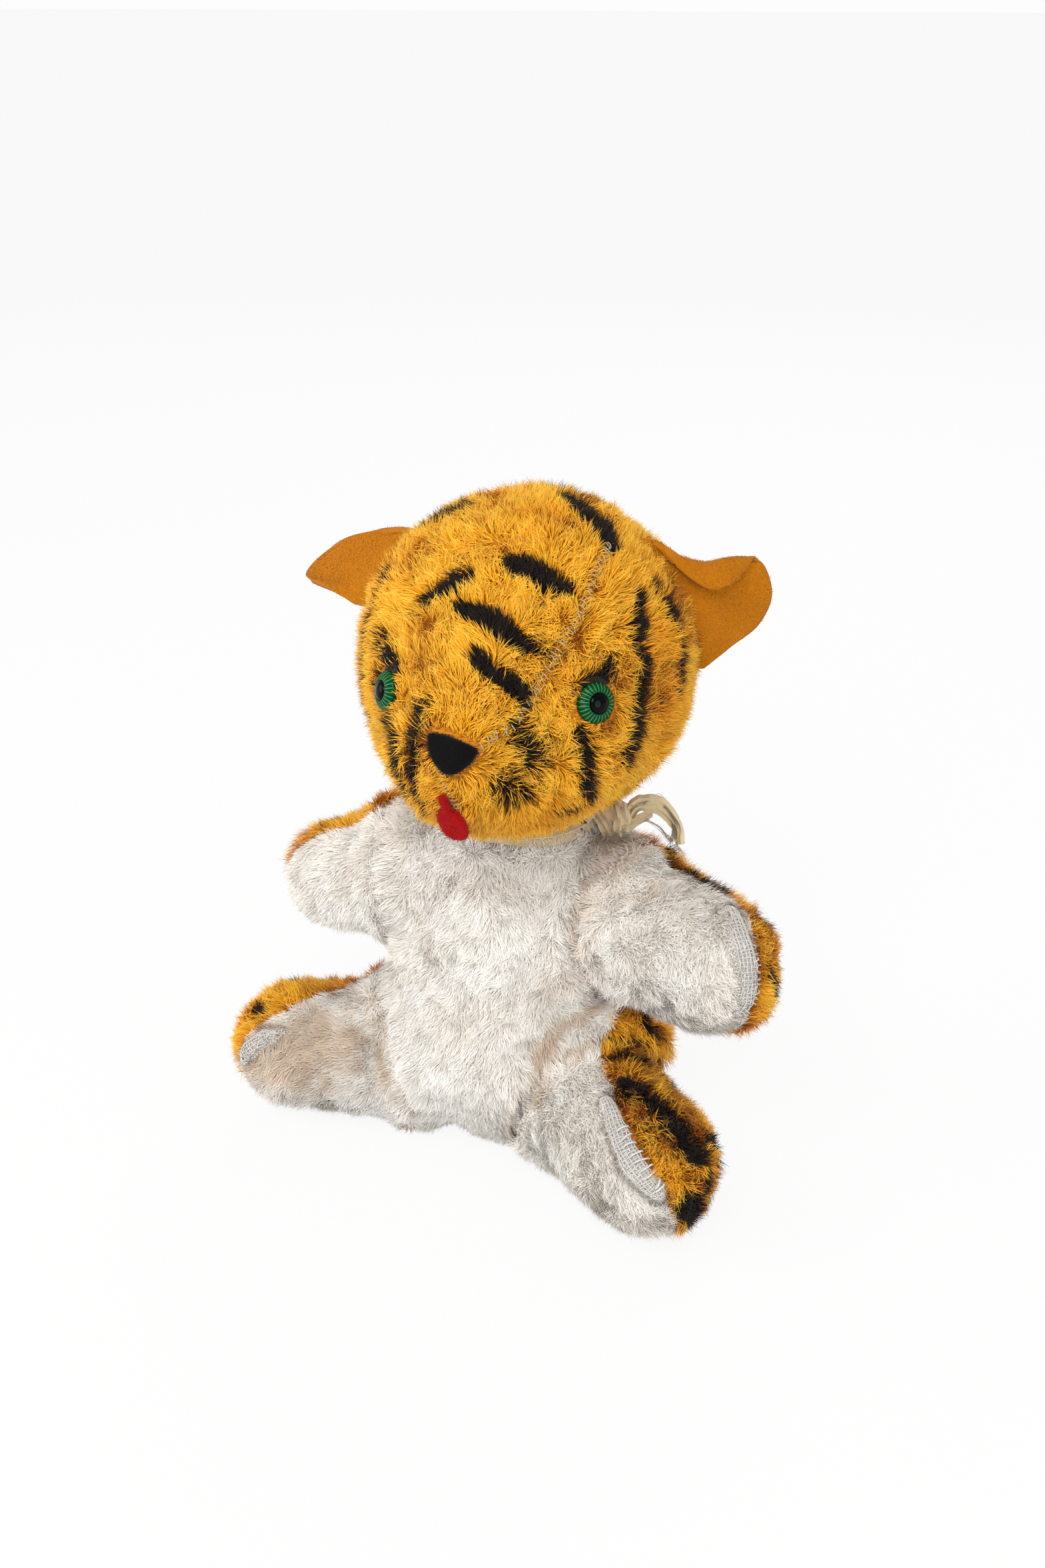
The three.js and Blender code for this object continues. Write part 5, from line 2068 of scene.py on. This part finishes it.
@dataclass
class Studio:
    """Floor, light and camera."""

    azimuth: float = 25.0
    elevation: float = 28.0
    distance: float = 0.494
    lens: float = 36.7
    shift: Pair = (0.0085, 0.0391)
    backdrop: float = 0.98
    surround: float = 0.56

    def camera(self) -> None:
        """Sets the camera where the picture was taken from."""
        turn, lift = math.radians(self.azimuth), math.radians(self.elevation)
        back = Vector((math.sin(turn) * math.cos(lift), -math.cos(turn) * math.cos(lift), math.sin(lift)))
        data = bpy.data.cameras.new("camera")
        data.lens = self.lens
        data.sensor_width = 36
        data.shift_x, data.shift_y = self.shift
        data.clip_start = 0.01
        obj = linked("camera", data)
        aim(obj, TARGET + back * self.distance)
        bpy.context.scene.camera = obj

    def floor(self) -> None:
        """Lays a wide floor."""
        plane = bmesh.new()
        bmesh.ops.create_grid(plane, x_segments=8, y_segments=8, size=40.0)
        mesh = bpy.data.meshes.new("floor")
        plane.to_mesh(mesh)
        plane.free()
        mesh.materials.append(FloorFinish().build())
        obj = linked("floor", mesh)
        obj.location.z = -0.3 * MM

    def light(self) -> None:
        """Hangs the lamps and sets the surrounding light."""
        lamps = (
            Lamp("key", (0.1, -0.9, 0.95), 0.65, 8.9, (1.0, 0.985, 0.96)),
            Lamp("fill", (-1.0, -0.6, 0.5), 0.9, 5.6),
            Lamp("side", (1.1, -0.6, 0.35), 0.8, 4.2),
            Lamp("back", (-0.1, 1.0, 0.9), 0.9, 4.0),
        )
        for lamp in lamps:
            lamp.build()
        world = bpy.data.worlds.new("studio")
        world.use_nodes = True
        bpy.context.scene.world = world
        tree = Tree(world.node_tree)
        seen = tree.feed(tree.add("Background"), Color=(1, 1, 1, 1), Strength=self.backdrop)
        around = tree.feed(tree.add("Background"), Color=(1, 1, 1, 1), Strength=self.surround)
        tree.show("OutputWorld", tree.add("LightPath").outputs["Is Camera Ray"], around, seen)
        bpy.context.scene.view_settings.view_transform = "Standard"

    def build(self) -> None:
        """Sets everything up."""
        self.camera()
        self.floor()
        self.light()


EARS = (
    Ear(
        "left", (100, 52), (103, -6),
        ((36, 6, 34), (41, 6, 27), (49, 9, 21), (55, 15, 22), (60, 24, 26), (64, 27, 16), (61, 26, 6),
            (54, 20, 0), (49, 14, -4)),
        arch=6, flat=(50, 38), area=1500, seed=101,
    ),
    Ear(
        "right", (-104, 46), (-100, 6),
        ((-45, 14, 28), (-55, 20, 25), (-66, 25, 19), (-75, 27, 12), (-79, 26, 6), (-70, 18, 7), (-61, 13, 6),
            (-55, 11, 5)),
        arch=0.5, flat=(38, 45), area=1100, seed=107,
    ),
)


def main() -> None:
    """Builds every part and reports it."""
    logging.basicConfig(level=logging.INFO, format="%(name)s: %(message)s")
    backing, pile = BackingFinish().build(), PileFinish().build()
    # Each felt's first colour is painted highlight on its raised fibres, its second painted shade between
    # them
    orange_felt = FeltFinish("ear felt", srgb(228, 158, 28), srgb(178, 106, 4)).build()
    black_felt = FeltFinish("nose felt", srgb(22, 19, 20), srgb(5, 4, 5)).build()
    red_felt = FeltFinish("tongue felt", srgb(206, 0, 10), srgb(154, 0, 4)).build()
    # The eye's second colour is a painted glint on the crests of its ribs
    green = EyeFinish("eye plastic", srgb(0, 58, 20), srgb(64, 156, 98), 0.08, 0.14).build()
    black = EyeFinish("pupil plastic", srgb(1, 2, 2), srgb(8, 8, 9), 0.05, 0.1).build()
    pale = EyeFinish("washer plastic", srgb(226, 222, 210), srgb(240, 238, 230)).build()
    cloth = RibbonFinish().build()
    cream = ThreadFinish("cream thread", srgb(232, 214, 180)).build()
    white = ThreadFinish("white thread", srgb(250, 246, 240)).build()
    bare = ThreadFinish("backing thread", srgb(255, 250, 244)).build()

    shape, head_shape = Body(), Head()
    head, limbs = head_shape.part(), shape.limbs()
    parts = [shape.torso(), *limbs, shape.tail(), shape.neck(), head]
    # Loose fibres of nose and tongue: darker at the root, painted shade, and lighter at the tip, painted
    # highlight
    black_fuzz, red_fuzz = (srgb(6, 5, 6), srgb(24, 21, 23)), (srgb(160, 0, 4), srgb(206, 2, 12))
    nose = FeltPiece("nose", "nose_felt", black_fuzz, 111, (0.97, 1, 0.87), hangs=False, slide=0.0)
    tongue = FeltPiece("tongue", "tongue_felt", red_fuzz, 113, (0.82, 1, 0.92), hangs=True, slide=3.4)
    eyes = [Eye(side).build(green, black) for side in ("left", "right")]
    head.covers = (*eyes, nose.build(black_felt, pile), tongue.build(red_felt, pile))
    for part in parts:
        part.sew(backing)
        log.info("%s: cloth of %d points", part.name, len(part.surface.points))
    for part in parts:
        if part.furred:
            log.info("%s: %d strands", part.name, part.grow(pile))

    for side in ("left", "right"):
        washer = cad(f"eye_washer_{side}")
        washer.materials.clear()
        washer.materials.append(pale)
        log.info("eye_%s", side)
    for ear in EARS:
        ear.build(orange_felt, pile)
        log.info("ear_%s", ear.side)
    seams = (
        (Stitches("forehead_seam_thread", head_shape.seam_left, 1.5, 2.7, 0.16, 0.3, 1.5), head, cream),
        (Stitches("mouth_seam_thread", head_shape.philtrum, 1.4, 2.0, 0.14, 0.3, 1.0, seed=7), head, cream),
        (Stitches("leg_darning", shape.leg_stitches, 2.6, 4.4, 0.3, 0.1, 1.3, seed=8), limbs[2], white),
        (Stitches("arm_darning", shape.arm_stitches, 1.9, 2.4, 0.2, 0.1, 1.1, seed=9), limbs[0], white),
    )
    worn = (
        (Gauze("leg_left_worn_cloth", shape.leg_gauze, 7.4), limbs[2], bare),
        (Gauze("leg_right_worn_cloth", shape.right_gauze, 6.0), limbs[3], bare),
        (Gauze("arm_left_worn_cloth", shape.arm_gauze, 7.0), limbs[0], bare),
    )
    for threads, part, thread in (*seams, *worn):
        threads.build(part, thread)
        log.info("%s", threads.name)
    Ribbon().build(cloth, cream)
    Studio().build()


if __name__ == "__main__":
    main()
